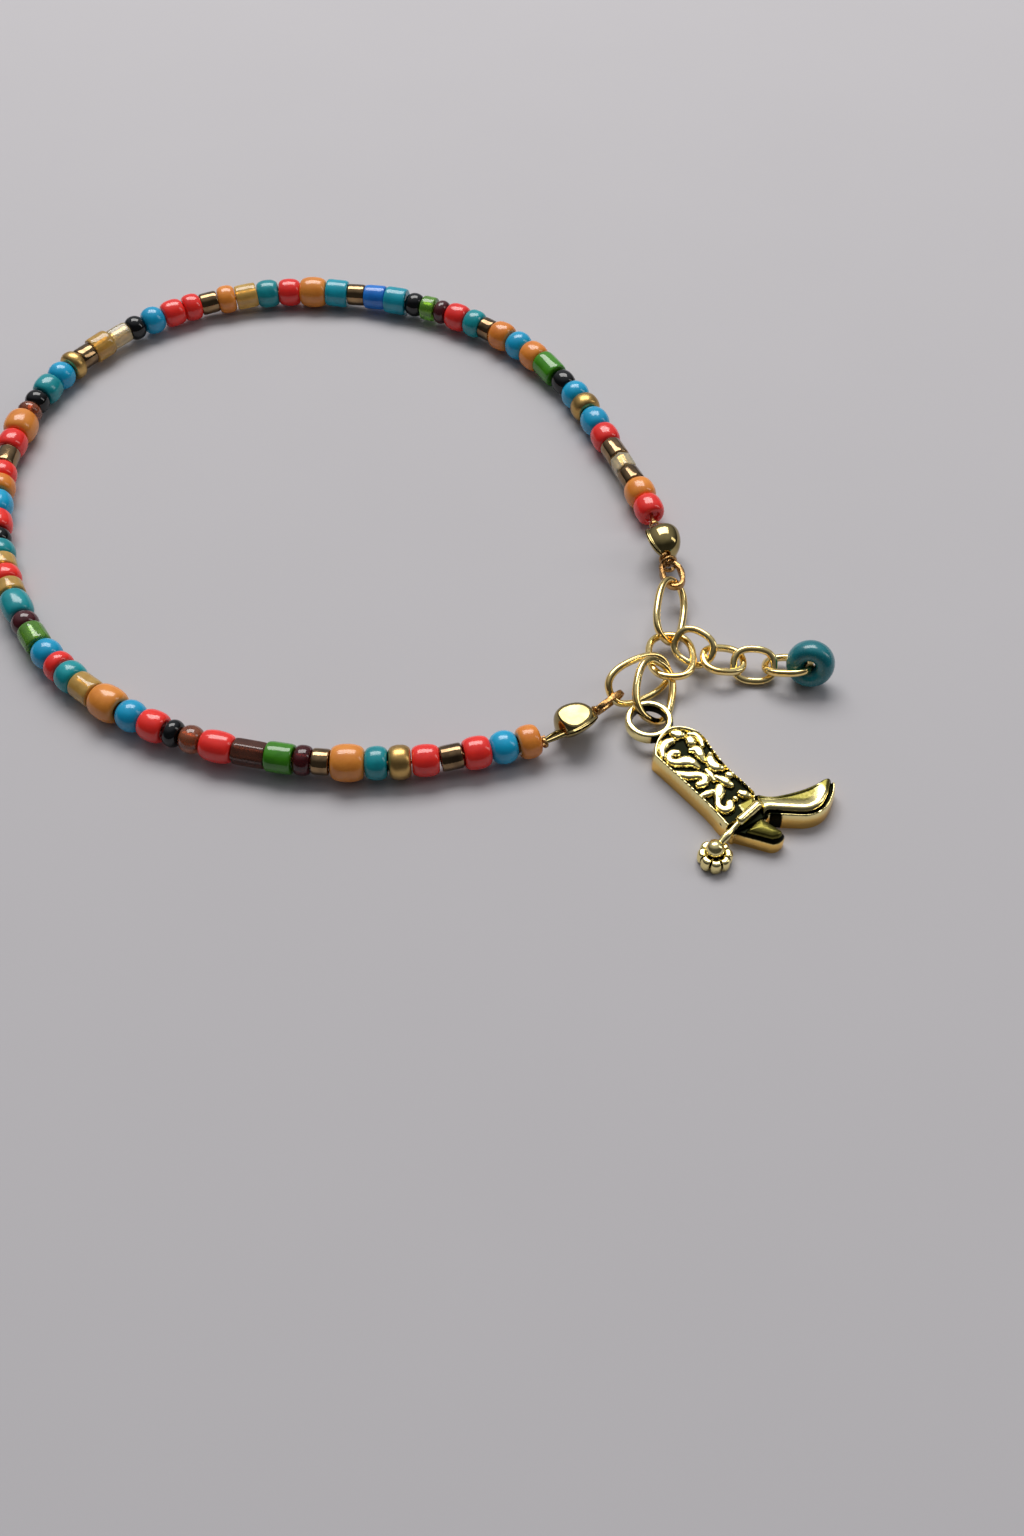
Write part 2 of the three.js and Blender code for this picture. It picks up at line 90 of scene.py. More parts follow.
def grid(points: Array, loop_rows: bool, loop_columns: bool, paint: int | Array = 0,
         values: dict[str, Array] | None = None, capped: bool = False) -> Surface:
    """A surface through a grid of points: each cell of four neighbours is one quad.

    Args:
        points: rows x columns x 3 array.
        loop_rows: whether the last row joins the first.
        loop_columns: whether the last column joins the first.
        paint: finish number, or one for each row of cells.
        values: rows x columns arrays to keep for each point.
        capped: whether the first and last rows are closed with a fan to their middle.

    Returns:
        The surface.
    """
    rows, columns = points.shape[:2]
    row = np.arange(rows if loop_rows else rows - 1)
    column = np.arange(columns if loop_columns else columns - 1)
    i, j = np.meshgrid(row, column, indexing="ij")
    below = (i + 1) % rows
    beside = (j + 1) % columns
    quads = np.stack([i * columns + j, i * columns + beside, below * columns + beside,
                      below * columns + j], axis=-1)
    paints = np.broadcast_to(np.reshape(paint, (-1, 1)), (len(row), len(column)))
    flat = points.reshape(-1, 3)
    kept = {name: np.asarray(value, float).reshape(-1) for name, value in (values or {}).items()}
    tris = np.zeros((0, 3), int)
    tri_paint = np.zeros(0, int)
    if capped:
        around = np.arange(columns)
        after = (around + 1) % columns
        last = (rows - 1) * columns
        first_middle = np.full(columns, len(flat))
        flat = np.vstack([flat, points[0].mean(axis=0), points[-1].mean(axis=0)])
        tris = np.vstack([np.c_[first_middle, after, around],
                          np.c_[first_middle + 1, last + around, last + after]])
        tri_paint = np.repeat([paints[0, 0], paints[-1, 0]], columns)
        kept = {name: np.append(value, [value[0], value[-1]]) for name, value in kept.items()}
    return Surface(flat, quads.reshape(-1, 4), tris, paints.reshape(-1), tri_paint, kept)


def joined(surfaces: list[Surface]) -> Surface:
    """Several surfaces as one; a value that one of them lacks is 0 there."""
    starts = np.cumsum([0] + [len(part.points) for part in surfaces[:-1]])
    names = {name for part in surfaces for name in part.values}
    values = {name: np.concatenate([part.values.get(name, np.zeros(len(part.points)))
                                    for part in surfaces]) for name in sorted(names)}
    return Surface(
        np.vstack([part.points for part in surfaces]),
        np.vstack([part.quads + start for part, start in zip(surfaces, starts)]),
        np.vstack([part.tris + start for part, start in zip(surfaces, starts)]),
        np.concatenate([part.quad_paint for part in surfaces]),
        np.concatenate([part.tri_paint for part in surfaces]),
        values,
    )


def turned(yaw: float, pitch: float, roll: float) -> Array:
    """Matrix of a yaw about Z, after a pitch up, after a roll about the long axis, in degrees."""
    a, b, c = np.radians([yaw, -pitch, roll])
    about_z = np.array([[np.cos(a), -np.sin(a), 0], [np.sin(a), np.cos(a), 0], [0, 0, 1]])
    about_y = np.array([[np.cos(b), 0, np.sin(b)], [0, 1, 0], [-np.sin(b), 0, np.cos(b)]])
    about_x = np.array([[1, 0, 0], [0, np.cos(c), -np.sin(c)], [0, np.sin(c), np.cos(c)]])
    return about_z @ about_y @ about_x


def power(value: Array, exponent: float) -> Array:
    """The size of a value to a power, with the value's sign."""
    return np.sign(value) * np.abs(value) ** exponent


def smooth_curve(stations: Array, samples: int) -> Array:
    """Centripetal Catmull-Rom curve: a cubic between two stations whose slopes come from its
    neighbours, with each station's time set by the square root of the distance."""
    points = np.vstack([2 * stations[0] - stations[1], stations, 2 * stations[-1] - stations[-2]])
    time = np.linspace(0, len(stations) - 1, samples)
    index = np.minimum(time.astype(int), len(stations) - 2)
    t = (time - index)[:, None]
    p0, p1, p2, p3 = (points[index + k] for k in range(4))
    gaps = [np.sqrt(np.linalg.norm(b - a, axis=1))[:, None] for a, b in ((p0, p1), (p1, p2), (p2, p3))]
    slope1 = gaps[1] * ((p1 - p0) / gaps[0] - (p2 - p0) / (gaps[0] + gaps[1]) + (p2 - p1) / gaps[1])
    slope2 = gaps[1] * ((p2 - p1) / gaps[1] - (p3 - p1) / (gaps[1] + gaps[2]) + (p3 - p2) / gaps[2])
    return (p1 + slope1 * t + (3 * p2 - 3 * p1 - 2 * slope1 - slope2) * t ** 2
            + (2 * p1 - 2 * p2 + slope1 + slope2) * t ** 3)


def dome(share: Array, flatness: float = 2.0) -> Array:
    """A round hump: the root of 1 - share to the flatness, and 0 past share 1."""
    return np.sqrt(np.clip(1 - np.abs(share) ** flatness, 0, 1))


def ease(value: Array, low: float, high: float) -> Array:
    """0 below low, 1 above high and a smooth step between them."""
    t = np.clip((value - low) / (high - low), 0, 1)
    return t * t * (3 - 2 * t)


def band(value: Array, rise: Pair, fall: Pair) -> Array:
    """0, a smooth step up to 1 over the rise, and a smooth step down to 0 over the fall."""
    return ease(value, *rise) * (1 - ease(value, *fall))


def unit(vectors: Array) -> Array:
    """Vectors of length 1 in the same directions."""
    return vectors / np.linalg.norm(vectors, axis=-1, keepdims=True)


def square_to(axis: Array) -> tuple[Array, Array]:
    """For each axis, a level direction at its side and one over it, all square to each other."""
    side = unit(np.cross(axis, UP))
    return side, np.cross(side, axis)


def round_angles(count: int, offset: float = 0.0) -> Array:
    """Even angles once round, the first at the offset's share of a step."""
    return 2 * np.pi * (np.arange(count) + offset) / count


def circles(side: Array, over: Array, angle: Array) -> Array:
    """A row of points on a unit circle for each pair of directions."""
    return side[:, None] * np.cos(angle)[None, :, None] + over[:, None] * np.sin(angle)[None, :, None]


def oval_section(width: float, height: float, squareness: float, sides: int) -> Array:
    """Points of a superellipse: an ellipse at squareness 2, nearer a rectangle above it.

    Each coordinate is its half size times the cosine or sine to the power 2 / squareness.
    """
    angle = round_angles(sides)
    return np.c_[width / 2 * power(np.cos(angle), 2 / squareness),
                 height / 2 * power(np.sin(angle), 2 / squareness)]


def oval_ring(length: float, width: float, section: Array, sections: int, squareness: float = 2.0,
              twist: Array | None = None) -> Surface:
    """A closed loop in the XY plane: a superellipse carries a section round.

    Args:
        length: length of the middle line.
        width: width of the middle line.
        section: points of the section, outward and up.
        sections: how many sections the loop has.
        squareness: 2 for an ellipse, and more for one with fuller corners.
        twist: turn of each section about the path, in radians.

    Returns:
        The loop, about the origin with its length along X.
    """
    steps_a_section = 40
    fine = np.linspace(0, 2 * np.pi, steps_a_section * sections + 1)
    path = np.c_[length / 2 * power(np.cos(fine), 2 / squareness),
                 width / 2 * power(np.sin(fine), 2 / squareness), 0 * fine]
    way = np.concatenate([[0.0], np.cumsum(np.linalg.norm(np.diff(path, axis=0), axis=1))])
    spots = way[-1] * np.arange(sections) / sections
    middle = np.stack([np.interp(spots, way, path[:, k]) for k in range(3)], axis=-1)
    along = np.roll(middle, -1, axis=0) - np.roll(middle, 1, axis=0)
    out = unit(np.c_[along[:, 1], -along[:, 0], 0 * spots])
    turn = np.zeros(sections) if twist is None else twist
    outward = np.cos(turn)[:, None] * section[None, :, 0] - np.sin(turn)[:, None] * section[None, :, 1]
    upward = np.sin(turn)[:, None] * section[None, :, 0] + np.cos(turn)[:, None] * section[None, :, 1]
    points = middle[:, None] + out[:, None] * outward[..., None]
    points[:, :, 2] += upward
    return grid(points, True, True)


def tube(path: Array, radius: Array, sides: int, paint: int = 0) -> Surface:
    """A round bar: circles of the given radii stand square to a path of points, with closed ends."""
    side, over = square_to(unit(np.gradient(path, axis=0)))
    points = path[:, None] + radius[:, None, None] * circles(side, over, round_angles(sides))
    return grid(points, False, True, paint, capped=True)


def put_in_scene(name: str, data: bpy.types.ID) -> Thing:
    """Makes an object of a mesh, a camera or a light and links it to the scene."""
    thing = bpy.data.objects.new(name, data)
    bpy.context.scene.collection.objects.link(thing)
    return thing


def make_piece(name: str, surface: Surface, finishes: list["Finish"],
               nodes: tuple[str, ...], sharp_angle: float = 40.0) -> Thing:
    """Puts a surface into a mesh object that stands for CAD nodes and rides on the one body.

    Args:
        name: the piece's name.
        surface: its shape in mm.
        finishes: the finish for each finish number.
        nodes: the CAD nodes that it replaces.
        sharp_angle: edges sharper than this, in degrees, aren't shaded smooth.

    Returns:
        The object.
    """
    mesh = bpy.data.meshes.new(name)
    faces = surface.quads.tolist() + surface.tris.tolist()
    mesh.from_pydata((surface.points * MM).tolist(), [], faces)
    paint = np.concatenate([surface.quad_paint, surface.tri_paint]).astype(np.int32)
    mesh.polygons.foreach_set("material_index", paint)
    for value_name, value in surface.values.items():
        attribute = mesh.attributes.new(value_name, "FLOAT", "POINT")
        attribute.data.foreach_set("value", value.astype(np.float32))
    for finish in finishes:
        mesh.materials.append(finish.material())
    work = bmesh.new()
    work.from_mesh(mesh)
    bmesh.ops.recalc_face_normals(work, faces=work.faces)
    work.to_mesh(mesh)
    work.free()
    mesh.shade_smooth()
    mesh.set_sharp_from_angle(angle=math.radians(sharp_angle))
    piece = put_in_scene(name, mesh)
    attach(piece, "root")
    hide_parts(*nodes)
    log.info("%s: %d faces for %s", name, len(faces), ", ".join(nodes))
    return piece


# Finishes

MAP_SOCKETS = ("From Min", "From Max", "To Min", "To Max")

# Ranges that noise mostly keeps to: for soft clouds, for marks and for fine pits
CLOUD_SPAN = (0.35, 0.7)
MARK_SPAN = (0.35, 0.75)
PIT_SPAN = (0.3, 0.8)
WHOLE_SPAN = (0.0, 1.0)
MARK_DETAIL = 4.0
FINE_DETAIL = 5.0


class Shader:
    """A material under construction, whose nodes are made by type and joined by socket name."""

    def __init__(self, name: str) -> None:
        """Starts a material with a Principled shader and an output."""
        self.material = bpy.data.materials.new(name)
        self.material.use_nodes = True
        self.tree = self.material.node_tree
        self.tree.nodes.clear()
        self.surface = self.tree.nodes.new("ShaderNodeBsdfPrincipled")
        output = self.tree.nodes.new("ShaderNodeOutputMaterial")
        self.tree.links.new(self.surface.outputs[0], output.inputs["Surface"])

    def join(self, source: Socket | float | tuple, target: Socket) -> None:
        """Links a socket to an input, or sets the input to a value."""
        if isinstance(source, Socket):
            self.tree.links.new(source, target)
        else:
            target.default_value = source

    def put(self, name: str, source: Socket | float) -> None:
        """Links a socket to one of the surface's inputs, or sets that input."""
        self.join(source, self.surface.inputs[name])

    def value(self, name: str) -> Socket:
        """A value that the mesh keeps for each point."""
        node = self.tree.nodes.new("ShaderNodeAttribute")
        node.attribute_name = name
        return node.outputs["Fac"]

    def noise(self, size_mm: float, detail: float = 3.0) -> Socket:
        """Noise whose features are about the given size."""
        node = self.tree.nodes.new("ShaderNodeTexNoise")
        node.inputs["Scale"].default_value = 1 / (size_mm * MM)
        node.inputs["Detail"].default_value = detail
        place = self.tree.nodes.new("ShaderNodeTexCoord")
        self.join(place.outputs["Object"], node.inputs["Vector"])
        return node.outputs["Fac"]

    def math(self, operation: str, first: Socket | float, second: Socket | float) -> Socket:
        """Two values through one arithmetic operation."""
        node = self.tree.nodes.new("ShaderNodeMath")
        node.operation = operation
        self.join(first, node.inputs[0])
        self.join(second, node.inputs[1])
        return node.outputs[0]

    def spread(self, value: Socket, span: Pair, reach: Pair) -> Socket:
        """A value's range, the span, eased and stretched to another range, the reach."""
        node = self.tree.nodes.new("ShaderNodeMapRange")
        node.interpolation_type = "SMOOTHSTEP"
        self.join(value, node.inputs["Value"])
        for socket, number in zip(MAP_SOCKETS, (*span, *reach)):
            node.inputs[socket].default_value = number
        return node.outputs["Result"]

    def mix(self, share: Socket, first: Color | Socket, second: Color | Socket) -> Socket:
        """Two colours mixed by a share."""
        node = self.tree.nodes.new("ShaderNodeMix")
        node.data_type = "RGBA"
        self.join(share, node.inputs["Factor"])
        for color, name in ((first, "A"), (second, "B")):
            socket = next(s for s in node.inputs if s.name == name and s.type == "RGBA")
            self.join(color if isinstance(color, Socket) else (*color, 1.0), socket)
        return next(s for s in node.outputs if s.type == "RGBA")

    def bump(self, height: Socket, depth_mm: float) -> None:
        """Shades the surface as if it rose and fell with a height from 0 to 1."""
        node = self.tree.nodes.new("ShaderNodeBump")
        node.inputs["Distance"].default_value = depth_mm * MM
        self.join(height, node.inputs["Height"])
        self.join(node.outputs["Normal"], self.surface.inputs["Normal"])


class Finish:
    """Something that can be put on a face. Its material is made once and shared."""

    name: str
    made: dict[str, bpy.types.Material] = {}

    def material(self) -> bpy.types.Material:
        """The finish's material."""
        if self.name not in Finish.made:
            Finish.made[self.name] = self.build()
        return Finish.made[self.name]

    def build(self) -> bpy.types.Material:
        """Makes the material."""
        raise NotImplementedError


@dataclass(frozen=True)
class GlassFinish(Finish):
    """Bead glass: opaque, clear or metal coated, with streaks in the melt and painted shade in the
    hole.
    """

    name: str
    color: Color
    shade: Color
    roughness: float = 0.16
    metallic: float = 0.0
    clearness: float = 0.0
    coat: float = 0.25
    streak_mm: float = 0.9
    pit_mm: float = 0.006
    pit_size_mm: float = 0.16
    melt_reach: float = 0.45
    bead_reach: float = 0.4
    # share of the way down the hole over which the glass is painted darker, as painted shade
    hole_shade_span: Pair = (0.25, 1.0)
    wear: Pair = (0.85, 1.2)
    refraction: float = 1.52
    coat_roughness: float = 0.04

    def build(self) -> bpy.types.Material:
        """Colour drifts from glass to shade with the melt and the bead, and down the hole as painted
        shade.
        """
        shader = Shader(self.name)
        melt = shader.spread(shader.noise(self.streak_mm), CLOUD_SPAN, (0.0, self.melt_reach))
        bead = shader.spread(shader.value("bead_tone"), WHOLE_SPAN, (0.0, self.bead_reach))
        # painted shade: the glass darkens to its shade colour down the hole
        hole = shader.spread(shader.value("hole_depth"), self.hole_shade_span, WHOLE_SPAN)
        shaded = shader.math("MAXIMUM", shader.math("ADD", melt, bead), hole)
        pits = shader.noise(self.pit_size_mm, FINE_DETAIL)
        least, most = (self.roughness * share for share in self.wear)
        shader.put("Base Color", shader.mix(shaded, self.color, self.shade))
        shader.put("Roughness", shader.spread(pits, PIT_SPAN, (least, most)))
        shader.bump(pits, self.pit_mm)
        shader.put("Metallic", self.metallic)
        shader.put("Transmission Weight", self.clearness)
        shader.put("IOR", self.refraction)
        shader.put("Coat Weight", self.coat)
        shader.put("Coat Roughness", self.coat_roughness)
        return shader.material


@dataclass(frozen=True)
class GoldFinish(Finish):
    """Plated metal with faint draw marks that vary its gloss, and a cloudy drift of tone."""

    name: str
    color: Color
    shade: Color
    roughness: float = 0.12
    mark_mm: float = 0.25
    mark_depth_mm: float = 0.01
    cloud_mm: float = 1.6
    cloud_reach: float = 0.6
    wear: Pair = (0.7, 1.7)

    def build(self) -> bpy.types.Material:
        """Colour and gloss drift with two sizes of noise, the finer of which also bumps."""
        shader = Shader(self.name)
        cloud = shader.spread(shader.noise(self.cloud_mm), CLOUD_SPAN, (0.0, self.cloud_reach))
        marks = shader.noise(self.mark_mm, MARK_DETAIL)
        least, most = (self.roughness * share for share in self.wear)
        shader.put("Base Color", shader.mix(cloud, self.color, self.shade))
        shader.put("Roughness", shader.spread(marks, MARK_SPAN, (least, most)))
        shader.put("Metallic", 1.0)
        shader.bump(marks, self.mark_depth_mm)
        return shader.material


@dataclass(frozen=True)
class AntiqueFinish(Finish):
    """Cast gold with black in recesses and painted shade; olive and warm walls are painted reflection.
    """

    name: str
    color: Color
    # painted reflection: warmer gold on the walls and back
    wall_reflection_color: Color
    # painted reflection: olive on the rougher, dim faces
    olive: Color
    black: Color
    roughness: float = 0.15
    recess_roughness: float = 0.4
    dull_share: float = 1.9
    grain_mm: float = 0.22
    grain_depth_mm: float = 0.014
    wander: float = 0.35
    recess_span: Pair = (0.35, 0.65)
    dull_and_olive_span: Pair = (0.2, 0.9)

    def build(self) -> bpy.types.Material:
        """Mixes gold, a rougher olive for painted reflection, and black for antiquing and painted
        shade, by the mesh's own values, whose edges wander with the grain; walls get warmer painted
        reflection."""
        shader = Shader(self.name)
        grain = shader.noise(self.grain_mm, FINE_DETAIL)
        wander = shader.math("MULTIPLY", shader.math("SUBTRACT", grain, 0.5), self.wander)
        recess, dull_and_olive_share = (
            shader.spread(shader.math("ADD", shader.value(name), wander), span, WHOLE_SPAN)
            for name, span in (("recess", self.recess_span), ("dulling", self.dull_and_olive_span)))
        # painted reflection: walls and back get the warmer gold
        bare = shader.mix(shader.value("side"), self.color, self.wall_reflection_color)
        # painted reflection: olive on the rougher faces
        gold = shader.mix(dull_and_olive_share, bare, self.olive)
        bright = shader.spread(dull_and_olive_share, WHOLE_SPAN, (self.roughness, self.roughness * self.dull_share))
        dark = shader.math("MULTIPLY", recess, self.recess_roughness)
        # black for antiquing in the hollows and for painted shade
        shader.put("Base Color", shader.mix(recess, gold, self.black))
        shader.put("Roughness", shader.math("MAXIMUM", dark, bright))
        shader.put("Metallic", 1.0)
        shader.bump(grain, self.grain_depth_mm)
        return shader.material


@dataclass(frozen=True)
class FloorFinish(Finish):
    """Plain pale matt surface."""

    name: str
    color: Color
    lightest_share: float = 1.03
    drift_mm: float = 18.0
    roughness: float = 0.9

    def build(self) -> bpy.types.Material:
        """A matt shader with a very faint drift of tone."""
        shader = Shader(self.name)
        lighter = tuple(min(1.0, channel * self.lightest_share) for channel in self.color)
        shader.put("Base Color", shader.mix(shader.noise(self.drift_mm), self.color, lighter))
        shader.put("Roughness", self.roughness)
        return shader.material


GOLD_WIRE = GoldFinish("gold_wire", (1.0, 0.8, 0.36), (0.92, 0.6, 0.18), roughness=0.1,
                       mark_depth_mm=0.006)
# painted shade: the tips' gold is made much darker than the wire's, so that only their highlights are
# bright
SHADED_GOLD_TIP = GoldFinish("shaded_gold_tip", (0.42, 0.33, 0.14), (0.17, 0.125, 0.04), roughness=0.09, mark_mm=0.6,
                      mark_depth_mm=0.004)
GOLD_STRIP = GoldFinish("gold_strip", (0.55, 0.32, 0.12), (0.16, 0.07, 0.02), roughness=0.18,
                        mark_mm=0.12, mark_depth_mm=0.04)
# gold, warmer gold for the walls and olive, both painted reflection, and black for antiquing and
# painted shade
ANTIQUE_GOLD = AntiqueFinish("antique_gold", (0.96, 0.82, 0.38), (1.0, 0.63, 0.17),
                             (0.13, 0.115, 0.025), (0.005, 0.006, 0.003))
THREAD = GoldFinish("thread", (0.55, 0.3, 0.14), (0.35, 0.18, 0.08), roughness=0.4, mark_mm=0.1)
LINING_GOLD = GoldFinish("lining_gold", (0.95, 0.7, 0.3), (0.8, 0.5, 0.18), roughness=0.25,
                         mark_depth_mm=0.002)
LINING_COPPER = GoldFinish("lining_copper", (0.9, 0.42, 0.16), (0.6, 0.24, 0.1), roughness=0.25,
                           mark_depth_mm=0.002)
END_BEAD_GLASS = GlassFinish("end_bead_glass", (0.003, 0.2, 0.24), (0.002, 0.1, 0.13),
                             roughness=0.26, coat=0.4, streak_mm=1.4)
FLOOR = FloorFinish("pale_floor", (0.5, 0.485, 0.505))


# Beads

class Form(Enum):
    """How a bead is cut: how square its half section is, and how far out in its wall it bulges."""

    ROUND = (1.92, 0.12)
    BARREL = (2.3, 0.36)
    TUBE = (5.5, 0.5)
    SIX_SIDED = (6.0, 0.5)

    @property
    def squareness(self) -> float:
        """Power of the half section's superellipse."""
        return self.value[0]

    @property
    def seat(self) -> float:
        """Share of the wall, from the hole outwards, at which the bead is longest."""
        return self.value[1]


@dataclass(frozen=True)
class BeadKind:
    """One kind of bead: its diameter in mm, its cut, its glass and the lining of its hole."""

    diameter: float
    form: Form
    glass: GlassFinish
    lining: GoldFinish | None = None


def kind(diameter: float, form: Form, glass: str, color: Color, shade: Color,
         lining: GoldFinish | None = None, **looks: float) -> BeadKind:
    """A kind of bead and its glass.

    Args:
        diameter: the bead's diameter in mm.
        form: its cut.
        glass: the glass's name.
        color: the glass's colour.
        shade: its colour in streaks, and as painted shade in the hole.
        lining: the lining of the hole of a clear bead.
        looks: the glass's other settings, where they differ from plain glass.

    Returns:
        The kind.
    """
    return BeadKind(diameter, form, GlassFinish(glass, color, shade, **looks), lining)


BEAD_KINDS = {
    "red": kind(2.7, Form.BARREL, "red_glass", (0.95, 0.034, 0.022), (0.74, 0.02, 0.02)),
    "orange": kind(2.85, Form.BARREL, "orange_glass", (0.85, 0.29, 0.04), (0.68, 0.18, 0.02),
                   roughness=0.2),
    "amber": kind(3.1, Form.BARREL, "amber_glass", (0.83, 0.3, 0.045), (0.66, 0.2, 0.025),
                  roughness=0.2),
    "blue": kind(2.75, Form.ROUND, "blue_glass", (0.004, 0.4, 0.68), (0.004, 0.28, 0.52),
                 roughness=0.2),
    "teal": kind(2.75, Form.BARREL, "teal_glass", (0.006, 0.34, 0.38), (0.004, 0.21, 0.25),
                 roughness=0.2),
    "turquoise": kind(2.7, Form.TUBE, "turquoise_glass", (0.006, 0.4, 0.52), (0.004, 0.26, 0.36),
                      roughness=0.2),
    "royal": kind(2.4, Form.TUBE, "royal_glass", (0.012, 0.22, 0.75), (0.006, 0.12, 0.5)),
    "green": kind(2.5, Form.TUBE, "green_glass", (0.055, 0.28, 0.006), (0.03, 0.17, 0.005),
                  roughness=0.12),
    "lime": kind(2.4, Form.TUBE, "lime_glass", (0.22, 0.55, 0.06), (0.08, 0.3, 0.02), LINING_GOLD,
                 clearness=0.55, roughness=0.08, pit_mm=0.001),
    "brown": kind(2.25, Form.SIX_SIDED, "brown_glass", (0.13, 0.045, 0.027), (0.05, 0.015, 0.01),
                  LINING_COPPER, clearness=0.4, roughness=0.06, pit_mm=0.001, coat=0.0),
    "copper": kind(2.35, Form.ROUND, "copper_glass", (0.5, 0.16, 0.07), (0.2, 0.05, 0.02),
                   LINING_COPPER, clearness=0.55, roughness=0.07, pit_mm=0.001),
    "garnet": kind(2.55, Form.BARREL, "garnet_glass", (0.1, 0.008, 0.012), (0.035, 0.003, 0.005),
                   LINING_COPPER, clearness=0.4, roughness=0.05, pit_mm=0.002, coat=0.0),
    "maroon": kind(2.4, Form.ROUND, "maroon_glass", (0.1, 0.012, 0.018), (0.03, 0.004, 0.006),
                   roughness=0.1),
    "bronze": kind(2.15, Form.TUBE, "bronze_glass", (0.36, 0.23, 0.11), (0.1, 0.06, 0.03),
                   metallic=1.0, roughness=0.07, coat=0.3),
    "black": kind(2.35, Form.ROUND, "black_glass", (0.003, 0.004, 0.005), (0.001, 0.001, 0.001),
                  roughness=0.06, coat=0.0, pit_mm=0.002),
    "gold": kind(2.5, Form.TUBE, "gold_lined_glass", (0.84, 0.54, 0.14), (0.58, 0.32, 0.06),
                 LINING_GOLD, clearness=0.4, roughness=0.1, pit_mm=0.001),
    "matte": kind(2.8, Form.BARREL, "matte_gold_glass", (0.66, 0.43, 0.15), (0.36, 0.21, 0.06),
                  metallic=0.9, roughness=0.34, coat=0.0),
    "crystal": kind(2.2, Form.SIX_SIDED, "crystal_glass", (0.92, 0.84, 0.62), (0.7, 0.56, 0.3),
                    LINING_GOLD, clearness=0.65, roughness=0.08, pit_mm=0.001),
}

# What is added to a string's seed for the draws of its beads' sizes and tones
LOOKS_SEED = 100

# Room that a bead takes on the thread, in mm
BEAD_ROOM = {"S": 1.45, "M": 1.85, "L": 2.25, "X": 2.75}

# The beads in order from the lower bead tip, one row for each stretch of the loop
NEAR_BEADS = """
  orange/M blue/L red/L bronze/M red/L matte/M teal/M amber/X
  bronze/S garnet/S green/L brown/X red/X copper/M black/S red/L
  blue/L amber/X gold/L teal/M red/S blue/L lime/L maroon/M
  teal/X gold/S red/M gold/S teal/M black/M red/L blue/X
  orange/M red/M bronze/L red/L amber/X copper/S black/M"""
FAR_BEADS = """
  teal/L blue/L matte/S bronze/M gold/L crystal/L black/M blue/L red/L
  red/M bronze/M orange/M gold/L teal/L red/L amber/X turquoise/L
  bronze/M royal/L turquoise/L black/M lime/S maroon/S red/L teal/M
  bronze/S orange/L blue/L orange/L green/X black/L blue/L matte/M
  blue/X red/L bronze/L crystal/M bronze/M orange/L red/L"""


@dataclass
class Thread:
    """The thread that the beads are on: a smooth curve through chosen points on the surface."""

    height: float = 1.58
    radius: float = 0.17
    samples: int = 24000
    slope_reach: float = 0.05
    stations: tuple[Pair, ...] = (
        (13.59, -24.16), (12.54, -24.56), (3.84, -26.56), (-5.26, -26.56), (-14.06, -24.66),
        (-22.06, -20.66), (-28.66, -14.56), (-33.16, -6.76), (-35.76, 1.84), (-36.36, 10.84),
        (-34.36, 19.64), (-29.46, 27.14), (-22.26, 32.44), (-13.66, 34.94), (-4.66, 34.54),
        (3.84, 31.64), (11.24, 26.54), (16.64, 19.34), (20.24, 11.04), (23.34, 2.54),
        (23.69, 0.79),
    )

    def __post_init__(self) -> None:
        """Samples the curve finely and measures the way along it."""
        flat = smooth_curve(np.array(self.stations), self.samples)
        self.path = np.c_[flat, np.full(len(flat), self.height)]
        steps = np.linalg.norm(np.diff(self.path, axis=0), axis=1)
        self.way = np.concatenate([[0.0], np.cumsum(steps)])

    @property
    def length(self) -> float:
        """Length of the thread in mm."""
        return float(self.way[-1])

    def at(self, distance: Array) -> Array:
        """Points at distances along the thread."""
        return np.stack([np.interp(distance, self.way, self.path[:, k]) for k in range(3)], axis=-1)

    def along(self, distance: Array) -> Array:
        """Directions of the thread at distances along it."""
        return unit(self.at(distance + self.slope_reach) - self.at(distance - self.slope_reach))


